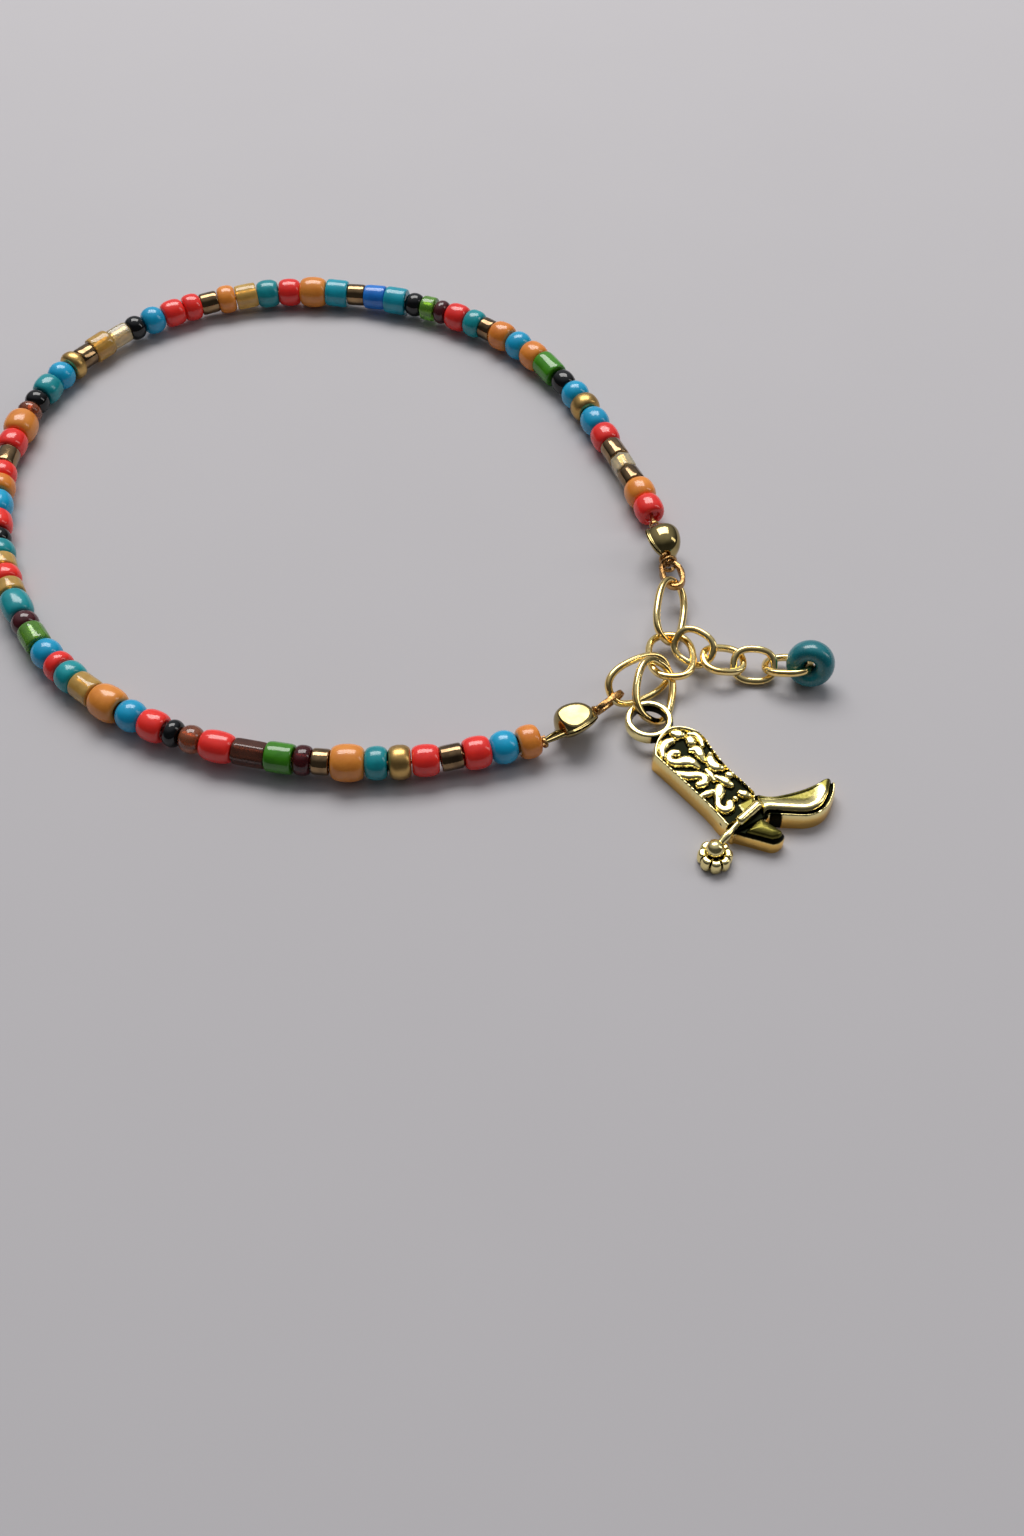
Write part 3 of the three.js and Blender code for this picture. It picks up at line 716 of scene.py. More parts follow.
@dataclass
class BeadString:
    """A run of beads as one turned body that follows the thread, with a lining in clear beads."""

    name: str
    node: str
    chart: str
    thread: Thread
    seed: int
    play: float = 0.05
    sides: int = 36
    profile_points: int = 26
    profile_degrees: Pair = (-48.0, 228.0)
    hole_radius: float = 0.5
    tilt_degrees: float = 3.0
    size_spread: float = 0.025
    size_draw: Pair = (-1.0, 0.6)
    roll_draw: Pair = (-0.2, 0.2)
    flats_reach: float = 1.04
    lining_radius: float = 0.56
    lining_share: float = 0.9
    lining_rings: int = 5
    lining_sides: int = 20
    stub_rings: int = 6

    def __post_init__(self) -> None:
        """Reads the chart into kinds and rooms."""
        words = [word.split("/") for word in self.chart.split()]
        self.kinds = [BEAD_KINDS[kind] for kind, _ in words]
        self.rooms = np.array([BEAD_ROOM[letter] for _, letter in words])

    def frames(self, start: float) -> tuple[Array, Array, Array, Array]:
        """Middle, axis, side and up of each bead; every bead is a rigid body with a small tilt."""
        draw = np.random.default_rng(self.seed)
        middles = start + np.cumsum(self.rooms) - self.rooms / 2
        axis = self.thread.along(middles)
        tilt = np.radians(self.tilt_degrees) * draw.uniform(-1, 1, (len(middles), 2))
        axis = axis + np.cross(axis, UP) * tilt[:, :1]
        axis[:, 2] += tilt[:, 1]
        axis = unit(axis)
        return self.thread.at(middles), axis, *square_to(axis)

    def profile(self, kind: BeadKind, half: float, radius: float) -> Array:
        """Half section of a bead as rows of (along, radius, depth in the hole).

        The section is a superellipse about a seat in the wall, fuller outside than inside, run
        from inside one end of the hole over the outside to the other end, with a row on the
        thread before and after it.
        """
        seat = self.hole_radius + (radius - self.hole_radius) * kind.form.seat
        angle = np.radians(np.linspace(*self.profile_degrees, self.profile_points - 2))
        along = -half * power(np.cos(angle), 2 / kind.form.squareness)
        wall = np.where(np.sin(angle) > 0, radius - seat, seat - self.hole_radius)
        out = seat + wall * power(np.sin(angle), 2 / kind.form.squareness)
        depth = np.clip(-np.sin(angle), 0, 1)
        first, last = ([along[end], self.thread.radius, 1.0] for end in (0, -1))
        return np.vstack([first, np.c_[along, out, depth], last])

    def outline(self, kind: BeadKind, angle: Array, roll: float) -> Array:
        """Share of the radius round a bead: 1, or for six flats a softened hexagon."""
        if kind.form is not Form.SIX_SIDED:
            return np.ones_like(angle)
        sector = np.pi / 3
        within = np.mod(angle + roll, sector) - sector / 2
        return np.minimum(np.cos(sector / 2) / np.cos(within) * self.flats_reach, 1.0)

    def build(self, start: float, stub_start: float | None, stub_end: float | None) -> Thing:
        """Makes the piece.

        Args:
            start: distance along the thread at which the first bead starts.
            stub_start: where bare thread starts before the beads, if it does.
            stub_end: where bare thread ends after them, if it does.

        Returns:
            The object.
        """
        draw = np.random.default_rng(self.seed + LOOKS_SEED)
        middles, axes, sides, ups = self.frames(start)
        angle = round_angles(self.sides, 0.5)
        rings = circles(sides, ups, angle)
        finishes: list[Finish] = [THREAD]
        rows: list[Array] = []
        paint: list[int] = []
        tones: list[Array] = []
        depths: list[Array] = []
        linings: list[Surface] = []

        def number(finish: Finish) -> int:
            """The finish's number in the piece, given when it is first met."""
            if finish not in finishes:
                finishes.append(finish)
            return finishes.index(finish)

        for k, kind in enumerate(self.kinds):
            half = (self.rooms[k] - self.play) / 2
            radius = kind.diameter / 2 * (1 + self.size_spread * draw.uniform(*self.size_draw))
            profile = self.profile(kind, half, radius)
            share = self.outline(kind, angle, np.pi / 6 + draw.uniform(*self.roll_draw))
            outside = np.clip((profile[:, 1] - self.hole_radius) / (radius - self.hole_radius), 0, 1)
            shape = 1 + (share[None] - 1) * outside[:, None]
            rows.append(middles[k] + profile[:, :1, None] * axes[k]
                        + (profile[:, 1:2] * shape)[:, :, None] * rings[k])
            paint.extend([number(kind.glass)] * (self.profile_points - 1) + [0])
            tones.append(np.full((self.profile_points, self.sides), draw.uniform(0, 1)))
            depths.append(np.repeat(profile[:, 2:], self.sides, axis=1))
            if kind.lining:
                reach = self.lining_share * half * np.linspace(-1, 1, self.lining_rings)[:, None]
                radii = np.full(self.lining_rings, self.lining_radius)
                linings.append(tube(middles[k] + reach * axes[k], radii, self.lining_sides,
                                    number(kind.lining)))
        before = self.stub(stub_start, start, angle)
        after = self.stub(start + float(self.rooms.sum()), stub_end, angle)
        paint = [0] * len(before) + paint[:-1] + [0] * len(after)
        added = [(len(before), len(after)), (0, 0)]
        # depth into each hole, along which the glass is painted darker as painted shade
        values = {"bead_tone": np.pad(np.concatenate(tones), added),
                  "hole_depth": np.pad(np.concatenate(depths), added)}
        body = grid(np.concatenate([before, *rows, after]), False, True, np.array(paint), values,
                    capped=True)
        return make_piece(self.name, joined([body, *linings]), finishes, (self.node,))

    def stub(self, low: float | None, high: float | None, angle: Array) -> Array:
        """Rings of bare thread between two distances along it, or none where one of them is None."""
        if low is None or high is None:
            return np.zeros((0, self.sides, 3))
        distance = np.linspace(low, high, self.stub_rings)
        ring = circles(*square_to(self.thread.along(distance)), angle)
        return self.thread.at(distance)[:, None] + self.thread.radius * ring


# Links and findings

@dataclass
class WireLink:
    """An oval link or ring of round wire."""

    node: str
    at: Triple
    turn: Triple
    length: float
    width: float
    wire: float = 0.6
    cad_wire: float = 0.5
    wire_squareness: float = 2.5
    squareness: float = 2.5
    sides: int = 24
    sections: int = 112

    def build(self) -> Thing:
        """Makes the piece."""
        section = oval_section(self.wire, self.wire, self.wire_squareness, self.sides)
        ring = oval_ring(self.length - self.cad_wire, self.width - self.cad_wire, section,
                         self.sections, self.squareness)
        return make_piece(self.node + "_wire", ring.placed(self.turn, self.at), [GOLD_WIRE],
                          (self.node,))


LINKS = (
    WireLink("centre_ring", (24.28, -15.38, 1.5), (90, -6, 0), 5.6, 4.2),
    WireLink("link_upper", (24.52, -10.5, 1.77), (79, 7, 47), 6.6, 3.8),
    WireLink("link_lower", (21.41, -18.09, 1.6), (34, -5, 44), 6.4, 3.8),
    WireLink("charm_ring", (22.64, -19.43, 1.77), (78, 13, 42), 5.8, 4.4),
    WireLink("extender_link_1", (26.26, -14.5, 1.61), (-35, -3, 41), 3.9, 3.2),
    WireLink("extender_link_2", (28.64, -15.75, 1.41), (3, -8, -3), 3.9, 3.3),
    WireLink("extender_link_3", (31.2, -16.14, 1.16), (-3, -2, 36), 3.9, 3.2),
    WireLink("extender_link_4", (33.94, -16.44, 1.5), (-14, 13, -20), 4.2, 3.4),
)


STRIP_PAINT = 1   # finish number of a tip's strip, after the shells' 0


@dataclass
class BeadTip:
    """Two cupped shells closed over the knot, with a strip bent to a loop.

    Sizes are in mm in the tip's own frame: +X towards the links, shells meeting at Z 0.
    """

    node: str
    at: Triple
    turn: Triple
    loop_start: float
    loop_end: float
    loop_height: float
    drop: float
    shell_turn: Triple
    facet: float
    ring_reach: float
    tail: float
    nose: float
    strip_width: float
    strip_thickness: float
    coil_radius: float
    coil_turns: float
    coil_half: float
    radius: float = 1.66
    nose_power: float = 3.2
    nose_fullness: float = 0.46
    tail_power: float = 8.0
    over: float = 1.18
    under: float = 0.4
    ends: Pair = (0.004, 0.996)
    bunching: float = 0.35
    facet_turn: float = 40.0
    facet_ahead: float = 0.1
    facet_softness: float = 0.2
    facet_fade: float = 2.5
    rim: float = 0.2
    rim_half: float = 0.15
    rim_from_top: float = 0.3
    rim_full_at: float = 0.6
    seam_half: float = 0.04
    seam_depth: float = 0.3
    stations: int = 84
    around: int = 220
    strip_squareness: float = 4.0
    strip_sides: int = 20
    loop_sections: int = 120
    loop_squareness: float = 2.3
    twist: float = 0.6
    twist_waves: int = 3
    droop_power: float = 1.5
    stem_half: float = 0.22
    stem_seat: float = 0.3
    stem_points: int = 16
    stem_sides: int = 16
    coil_seat: float = 0.12
    coil_past: float = 0.3
    coil_points: int = 90
    coil_sides: int = 12
    prong_seat: float = 0.35
    prong_spread: Pair = (0.72, 0.42)
    prong_rise: float = 0.05
    prong_half: float = 0.2
    prong_points: int = 14
    prong_sides: int = 14
    grip_size: float = 0.74
    grip_section: tuple[float, float, float, int] = (0.2, 0.32, 2.6, 16)
    grip_sections: int = 40

    def shells(self) -> Surface:
        """The closed shells: a full upper dome and a flat lower one, with the radius rising from the
        tail and falling to the nose as powers of the way. A facet is pressed on the upper shell,
        and a lip stands out where the shells meet, with an open seam in its middle."""
        way = (1 - np.cos(np.pi * np.linspace(*self.ends, self.stations))) / 2
        falling = (1 - way ** self.nose_power) ** self.nose_fullness
        radius = self.radius * falling * np.sqrt(1 - (1 - way) ** self.tail_power)
        fine = np.linspace(0, 1, self.around // 2, endpoint=False)
        bunched = np.pi * (fine - self.bunching / np.pi * np.sin(2 * np.pi * fine))
        angle = np.concatenate([bunched, bunched + np.pi])
        height = radius[:, None] * np.sin(angle)[None]
        edge = np.abs(np.cos(angle))[None] > self.rim_from_top
        rim = self.rim * np.exp(-(height / self.rim_half) ** 4) * edge
        seam = self.seam_depth * np.exp(-(height / self.seam_half) ** 2) * edge
        out = radius[:, None] + (rim - seam) * np.clip(radius / self.rim_full_at, 0, 1)[:, None]
        x = self.tail + (self.nose - self.tail) * way
        lift = out * np.sin(angle)[None]
        lift = lift * np.where(lift < 0, self.under, self.over)
        points = np.stack([np.broadcast_to(x[:, None], out.shape), out * np.cos(angle)[None], lift],
                          axis=-1)
        lean = math.radians(self.facet_turn)
        normal = np.array([self.facet_ahead, -math.sin(lean), math.cos(lean)])
        over = (points @ normal - self.facet) / self.facet_softness
        press = self.facet_softness * (over - np.tanh(over)) * (over > 0)
        press *= ease(points[..., 2], self.rim_half, self.facet_fade * self.rim_half)
        return grid(points - press[..., None] * normal, False, True, capped=True)

    def strip(self) -> list[Surface]:
        """The twisted strip: a loop whose flat section rolls to and fro along it, a stem from the
        nose, and the turns that wind round the stem as a helix."""
        section = oval_section(self.strip_thickness, self.strip_width, self.strip_squareness,
                               self.strip_sides)
        round_loop = round_angles(self.loop_sections)
        twist = self.twist * np.sin(self.twist_waves * round_loop) * np.sin(round_loop / 2) ** 2
        loop = oval_ring(self.loop_end - self.loop_start - self.strip_thickness,
                         self.loop_height - self.strip_thickness, section, self.loop_sections,
                         self.loop_squareness, twist)
        upright = np.array([[1.0, 0, 0], [0, 0, -1.0], [0, 1.0, 0]])
        loop = loop.moved(upright, np.array([(self.loop_start + self.loop_end) / 2, 0, -self.drop]))
        loop.quad_paint = np.full_like(loop.quad_paint, STRIP_PAINT)
        start = self.nose - self.stem_seat
        reach = self.loop_start + self.strip_thickness - start
        share = np.linspace(0, 1, self.stem_points)
        stem = np.c_[start + reach * share, 0 * share, -self.drop * share ** self.droop_power]
        turns = np.linspace(0, 1, self.coil_points)
        winding = 2 * np.pi * self.coil_turns * turns
        swing = self.coil_radius * (1 + np.sin(np.pi * turns)) / 2
        coil = np.c_[self.nose - self.coil_seat + (reach + self.coil_past) * turns,
                     swing * np.cos(winding),
                     swing * np.sin(winding) - self.drop * turns ** self.droop_power]
        return [loop, tube(stem, np.full(len(stem), self.stem_half), self.stem_sides, STRIP_PAINT),
                tube(coil, np.full(len(coil), self.coil_half), self.coil_sides, STRIP_PAINT)]

    def prongs(self) -> list[Surface]:
        """Two flat tongues behind the shells and the small ring that grips the thread."""
        share = np.linspace(0, 1, self.prong_points)
        wide, closing = self.prong_spread
        tongues = [
            tube(np.c_[self.tail + self.prong_seat - (self.prong_seat + self.ring_reach) * share,
                       side * (wide - closing * share ** self.droop_power), self.prong_rise * share],
                 self.prong_half * np.sqrt(1 - share ** 2 / 2), self.prong_sides)
            for side in (-1, 1)]
        ring = oval_ring(self.grip_size, self.grip_size, oval_section(*self.grip_section),
                         self.grip_sections)
        across = np.array([[0, 0, 1.0], [0, 1.0, 0], [-1.0, 0, 0]])
        ring = ring.moved(across, np.array([self.tail - self.ring_reach, 0, 0]))
        ring.quad_paint = np.full_like(ring.quad_paint, STRIP_PAINT)
        return [*tongues, ring]

    def build(self) -> Thing:
        """Makes the piece; the shells and tongues have a turn of their own."""
        cups = joined([self.shells(), *self.prongs()]).placed(self.shell_turn, (0, 0, 0))
        whole = joined([cups, *self.strip()]).placed(self.turn, self.at)
        return make_piece(self.node + "_shells", whole, [SHADED_GOLD_TIP, GOLD_STRIP],
                          (self.node,))


TIPS = (
    BeadTip("bead_tip_lower", (15.87, -23.18, 1.71), (41, 2.5, 14), loop_start=2.3, loop_end=5.62,
            loop_height=1.4, drop=0.45, shell_turn=(-7, 0, -54), facet=1.12, ring_reach=1.5,
            tail=-1.35, nose=2.15, strip_width=0.5, strip_thickness=0.26,
            coil_radius=0.32, coil_turns=2.5, coil_half=0.14),
    BeadTip("bead_tip_upper", (24.09, -1.91, 1.9), (-80, 3.2, 95), loop_start=2.9, loop_end=6.5,
            loop_height=2.1, drop=0.0, shell_turn=(0, 0, -135), facet=3.0, ring_reach=1.15,
            tail=-0.85, nose=2.45, strip_width=0.62, strip_thickness=0.46,
            coil_radius=0.66, coil_turns=1.7, coil_half=0.19),
)


@dataclass
class EndBead:
    """The glass ring bead at the end of the extender chain."""

    at: Triple = (35.72, -16.78, 2.11)
    turn: Triple = (-16.4, 1.9, -19.2)
    diameter: float = 4.0
    thickness: float = 2.1
    hole: float = 0.78
    squareness: float = 2.25
    sides: int = 48
    sections: int = 96

    def build(self) -> Thing:
        """An oval section, a little squared, turned round the hole."""
        wall = (self.diameter - self.hole) / 2
        section = oval_section(wall, self.thickness, self.squareness, self.sides)
        angle = round_angles(self.sections)[:, None]
        radius = (self.hole + wall) / 2 + section[:, 0]
        along = np.broadcast_to(section[None, :, 1], (self.sections, self.sides))
        points = np.stack([radius * np.cos(angle), along, radius * np.sin(angle)], axis=-1)
        # depth into the hole, along which the glass is painted darker as painted shade
        depth = np.clip(-section[:, 0] / wall * 2, 0, 1) ** 2
        bead = grid(points, True, True, 0, {"hole_depth": np.tile(depth, (self.sections, 1))})
        return make_piece("end_bead_glass", bead.placed(self.turn, self.at), [END_BEAD_GLASS],
                          ("end_bead",))


# Boot charm

@dataclass(frozen=True)
class Outline:
    """An outline: a start, then quadratic curves (control, end) or lines (None, end)."""

    start: Pair
    turns: tuple[tuple[Pair | None, Pair], ...]

    def points(self, steps: int = 16) -> Array:
        """Points along the outline; a curve's are its start, control and end weighted by
        (1 - t) squared, 2 t (1 - t) and t squared."""
        t = np.linspace(0, 1, steps, endpoint=False)[:, None]
        here = np.array(self.start)
        runs = []
        for control, end in self.turns:
            goal = np.array(end)
            bend = (here + goal) / 2 if control is None else np.array(control)
            runs.append((1 - t) ** 2 * here + 2 * t * (1 - t) * bend + t ** 2 * goal)
            here = goal
        return np.vstack([*runs, here])

    def stretch(self, first: int, last: int) -> "Outline":
        """The turns from one number up to another, as an open line of their own."""
        start = self.turns[first - 1][1] if first else self.start
        return Outline(start, self.turns[first:last])


SHAFT = Outline((0.74, -0.45), (
    ((0.62, 1.2), (0.42, 2.4)), ((0.4, 3.9), (0.6, 5.4)), ((0.95, 6.9), (-0.1, 7.9)),
    ((-1.0, 8.75), (-2.2, 8.3)), ((-3.5, 7.7), (-4.02, 6.6)), ((-3.6, 3.6), (-3.3, 0.6)),
    (None, (-3.2, -2.1)), (None, (-0.6, -2.1)),
))
FOOT = Outline((0.74, -0.45), (
    ((1.15, -1.35), (2.3, -1.65)), ((4.2, -2.3), (5.9, -2.25)), ((6.85, -2.3), (6.7, -3.05)),
    ((6.05, -3.95), (4.85, -4.5)), ((3.75, -4.95), (2.6, -4.35)), ((1.5, -3.6), (0.45, -2.8)),
    (None, (-3.0, -2.6)), ((-3.4, -1.6), (-3.25, -0.4)),
))
HEEL = Outline((-2.85, -2.5), (
    (None, (-0.95, -4.85)), ((-0.55, -5.1), (-0.2, -5.0)), ((0.25, -4.95), (0.4, -4.65)),
    ((0.3, -3.8), (-0.1, -2.7)),
))
INSTEP = FOOT.stretch(0, 2)
SOLE = FOOT.stretch(3, 6)
BODIES = (SHAFT, FOOT, HEEL)
HEEL_PANEL = Outline((-0.42, -2.52), (
    (None, (0.2, -4.45)), ((0.13, -4.76), (-0.35, -4.75)), (None, (-0.8, -4.6)),
    (None, (-2.1, -3.05)),
))


@dataclass(frozen=True)
class Stroke:
    """A raised leaf or curl: a smooth line through stations of x, y and half width."""

    stations: tuple[Triple, ...]
    samples_each: int = 10

    def line(self) -> Array:
        """Points of the smooth line, each with the half width there."""
        return smooth_curve(np.array(self.stations), self.samples_each * len(self.stations))


SCROLLS = {
    "crest_leaf": Stroke(((-1.25, 7.75, 0.16), (-0.98, 7.45, 0.3), (-0.72, 7.22, 0.14))),
    "crest_bud": Stroke(((-0.5, 6.52, 0.22), (-0.55, 6.28, 0.25))),
    "crest_curl": Stroke(((-0.25, 7.05, 0.07), (0.16, 6.7, 0.1), (0.22, 6.1, 0.11), (0, 5.5, 0.08))),
    "left_band": Stroke((
        (-1.8, 7.2, 0.18), (-2.4, 7.22, 0.22), (-2.95, 6.9, 0.19), (-3.3, 6.3, 0.1))),
    "hook_leaf": Stroke((
        (-2.1, 5.96, 0.15), (-2.45, 6.16, 0.18), (-2.9, 6.0, 0.18), (-3.08, 5.6, 0.18),
        (-2.75, 5.2, 0.2), (-2.0, 4.95, 0.33), (-1.68, 4.5, 0.22), (-1.54, 3.95, 0.06))),
    "heart_leaf": Stroke((
        (-1.08, 5.66, 0.08), (-0.66, 5.36, 0.28), (-0.7, 4.8, 0.22), (-0.83, 4.3, 0.06))),
    "right_leaf": Stroke(((0, 4.5, 0.1), (-0.4, 3.85, 0.26), (-0.4, 3.3, 0.26), (-0.06, 2.88, 0.13))),
    "knot": Stroke(((-1.2, 3.35, 0.08), (-1.2, 2.8, 0.14), (-1.27, 2.25, 0.07))),
    "long_leaf": Stroke((
        (-3.6, 4.7, 0.06), (-3.3, 4.25, 0.15), (-2.75, 3.68, 0.23), (-2.05, 3.28, 0.21),
        (-1.78, 2.8, 0.2), (-2.08, 2.44, 0.2), (-2.55, 2.5, 0.18))),
    "cross_leaf": Stroke(((-0.92, 2.42, 0.09), (-0.64, 1.78, 0.23), (-0.42, 1.15, 0.13))),
    "bar_leaf": Stroke(((-2.95, 1.52, 0.1), (-2.5, 1.45, 0.17), (-2.05, 1.42, 0.12))),
    "low_curl": Stroke((
        (-1.35, 1.42, 0.2), (-1.6, 1.1, 0.3), (-2.15, 0.55, 0.15), (-2.48, -0.02, 0.17),
        (-2.32, -0.48, 0.2), (-1.85, -0.55, 0.24), (-1.58, -0.25, 0.2))),
    "low_leaf": Stroke(((-0.27, 0.15, 0.15), (-0.07, -0.15, 0.21), (0.12, -0.42, 0.12))),
    "right_dot": Stroke(((0.0, 2.05, 0.16), (0.06, 1.96, 0.16))),
    "low_dot": Stroke(((-0.95, -0.05, 0.1), (-0.93, -0.09, 0.1))),
}


def line_distance(points: Array, line: Array) -> tuple[Array, Array]:
    """Distance from points to a polyline, and the share of the way along it of the nearest spot."""
    start = line[:-1]
    step = line[1:] - start
    squared = np.maximum((step ** 2).sum(axis=1), TINY)
    offset = points[:, None] - start[None]
    t = np.clip((offset * step[None]).sum(axis=2) / squared[None], 0, 1)
    gap = np.linalg.norm(offset - t[..., None] * step[None], axis=2)
    nearest = gap.argmin(axis=1)
    rows = np.arange(len(points))
    return gap[rows, nearest], (nearest + t[rows, nearest]) / len(step)


def signed_distance(points: Array, outline: Outline) -> Array:
    """Distance to a closed outline, negative inside. A point is inside where a ray from it crosses
    the outline an odd number of times."""
    line = outline.points()
    closed = np.vstack([line, line[:1]])
    gap, _ = line_distance(points, closed)
    x, y = points[:, :1], points[:, 1:]
    x0, y0 = closed[:-1, 0][None], closed[:-1, 1][None]
    x1, y1 = closed[1:, 0][None], closed[1:, 1][None]
    spans = (y0 > y) != (y1 > y)
    rise = np.where(y1 == y0, TINY, y1 - y0)
    crossings = (spans & (x < x0 + (y - y0) * (x1 - x0) / rise)).sum(axis=1)
    return np.where(crossings % 2 == 1, -gap, gap)


@dataclass
class BootCharm:
    """The cast boot: shaft with border and scrolls, foot, heel, loop and rowel spur.

    Sizes are in mm. A pair called a span, a rise or a fall is where a smooth step starts and ends,
    and a pair of such pairs is a band's rise and fall.
    """

    at: Triple = (29.08, -29.73, 0.0)
    yaw: float = 32.0
    # Grid of the casting, whose rim points are moved onto the outline in rounds
    cell: float = 0.05
    margin: int = 3
    kept_share: float = 0.45
    probe: float = 0.02
    rim_rounds: int = 3
    least_slope: float = 0.3
    # Scrolls
    ground: float = 1.4
    relief: float = 1.85
    swell: float = 1.42
    flank: float = 0.11
    flat_top: float = 3.4
    least_rise: float = 0.6
    full_rise_half: float = 0.5
    dark_span: Pair = (0.05, 0.14)
    # Border and edge of the shaft
    border: float = 0.36
    edge_flatness: float = 2.5
    crest_gain: float = 0.25
    crest_span: Pair = (5.5, 7.5)
    right_loss: float = 0.45
    right_span: Pair = (-0.7, 0.0)
    right_end: Pair = (6.4, 7.3)
    shaft_bottom: float = -1.9
    edge_drop: float = 0.4
    edge_width: float = 0.2
    bare_span: Pair = (0.02, 0.09)
    # Plain patch at the ankle
    ankle_top: float = 0.4
    ankle_inset: float = 0.2
    ankle_rise: float = 0.12
    ankle_across: Pair = (-1.4, -0.7)
    ankle_down: Pair = (-0.75, -0.45)
    # Foot, by the distance in from the sole or from the instep
    foot_lean: float = 0.35
    foot_span: Pair = (0.75, 1.15)
    foot_edge: Pair = (0.0, 0.1)
    groove_floor: float = 1.3
    lip_middle: float = 0.16
    lip_half: float = 0.14
    lip_rise: float = 0.34
    ridge: float = 0.85
    ridge_half: float = 0.4
    hollow: float = 0.2
    hollow_width: float = 1.0
    rim_half: float = 0.17
    rim_rise: float = 0.1
    rim_end: Pair = (5.0, 5.8)
    corner_span: Pair = (0.25, 0.8)
    sole_line: Bands = ((0.22, 0.28), (0.5, 0.56))
    instep_line: Bands = ((0.02, 0.1), (0.14, 0.3))
    instep_dark: float = 0.9
    # painted reflection: share of olive, with more roughness, behind the ridge and on the toe tip
    dull_and_olive_share: float = 0.85
    dull_and_olive_past_ridge: Pair = (0.05, 0.9)
    tip_span: Pair = (5.1, 5.7)
    tip_inset: Pair = (0.3, 0.4)
    # Heel and the arch before it
    heel_top: float = -2.45
    heel_ground: float = 1.38
    panel_step: float = 0.2
    panel_span: Pair = (-0.1, 0.12)
    panel_dome: float = 0.3
    panel_half: float = 0.8
    panel_line: Pair = (-0.04, 0.04)
    # painted reflection: share of olive, with more roughness, on the heel
    heel_dull_and_olive: float = 0.9
    # painted shade: where black is put on the face and wall under the arch
    arch: Bands = ((0.3, 0.5), (0.9, 1.5))
    arch_top: float = -2.6
    # Loop
    loop_middle: Pair = (-2.06, 9.95)
    loop_outer: float = 1.97
    loop_inner: float = 1.38
    loop_bottom: float = 0.8
    loop_top: float = 1.85
    loop_squareness: float = 3.2
    loop_sides: int = 32
    loop_sections: int = 96
    joint_span: Pair = (0.3, 0.5)
    joint_below_top: float = 0.06
    # Spur
    strap_ends: tuple[Triple, Triple] = ((0.3, -1.54, 1.8), (-2.3, -2.13, 1.8))
    strap_half: float = 0.41
    strap_flatness: float = 14.0
    strap_end_share: float = 0.25
    strap_sides: int = 24
    shank_ends: tuple[Triple, Triple] = ((-2.2, -2.1, 1.68), (-4.5, -2.72, 1.25))
    shank_half: float = 0.24
    shank_swell: float = 0.14
    shank_span: Pair = (0.2, 0.7)
    shank_sides: int = 20
    ball_middle: Triple = (-4.93, -2.88, 1.2)
    ball_radius: float = 0.74
    ball_sides: int = 28
    ball_pole: float = 0.02
    bar_points: int = 28
    # Rowel, by shares of its radius
    rowel_middle: Triple = (-5.03, -3.1, 0.66)
    rowel_radius: float = 1.36
    rowel_points: int = 8
    rowel_half: float = 0.42
    petal_depth: float = 0.26
    petal_power: float = 0.3
    petal_middle: float = 0.74
    petal_half: float = 0.27
    petal_flatness: float = 2.6
    hub_height: float = 0.1
    cut_depth: float = 0.22
    cut_span: Pair = (0.5, 0.7)
    cut_sides: Pair = (0.5, 0.8)
    trough_span: Pair = (0.14, 0.24)
    rowel_around: int = 192
    rowel_rings: int = 26
    rowel_start: float = 0.05

    def scrollwork(self, points: Array) -> Array:
        """Height of the strokes: each is a flat-topped hump of the distance to its middle line
        over its half width and flank, and a narrow stroke is lower."""
        height = np.full(len(points), self.ground)
        for stroke in SCROLLS.values():
            line = stroke.line()
            gap, way = line_distance(points, line[:, :2])
            half = np.interp(way, np.linspace(0, 1, len(line)), line[:, 2])
            rise = np.minimum(1, self.least_rise + half / self.full_rise_half)
            hump = dome(np.minimum(gap / (half * self.swell + self.flank), 1), self.flat_top)
            height = np.maximum(height, self.ground + (self.relief - self.ground) * rise * hump)
        return height

    def shaft_face(self, points: Array, shaft: Array, toe_side: Array) -> Face:
        """Height, black and olive painted reflection of the shaft: scrolls on sunk ground inside a
        border, which is wider at the crest and narrower on the right, and a plain olive patch at the
        ankle."""
        x, y = points.T
        right_side = ease(x, *self.right_span) * (1 - ease(y, *self.right_end))
        border = self.border * (1 + self.crest_gain * ease(y, *self.crest_span))
        half = border * (1 - self.right_loss * right_side) / 2
        across = (shaft - half) / half
        hump = dome(across, self.edge_flatness) ** np.where(across < 0, 2.0, 1.0)
        rim = self.ground + (self.relief - self.ground) * hump
        bordered = (shaft > 0) & (y > self.shaft_bottom) & (toe_side < 0.5)
        height = self.scrollwork(points)
        height = np.where(bordered, np.maximum(height, rim), height)
        low, high = (self.ground + rise for rise in self.dark_span)
        ankle = (y < self.ankle_top) & (shaft > self.ankle_inset) & (height < low)
        # the ankle patch takes olive, with more roughness, as painted reflection
        patch = ankle * ease(x, *self.ankle_across) * (1 - ease(y, *self.ankle_down))
        recess = (1 - ease(height, low, high)) * (1 - patch)
        return height + self.ankle_rise * patch, recess, patch

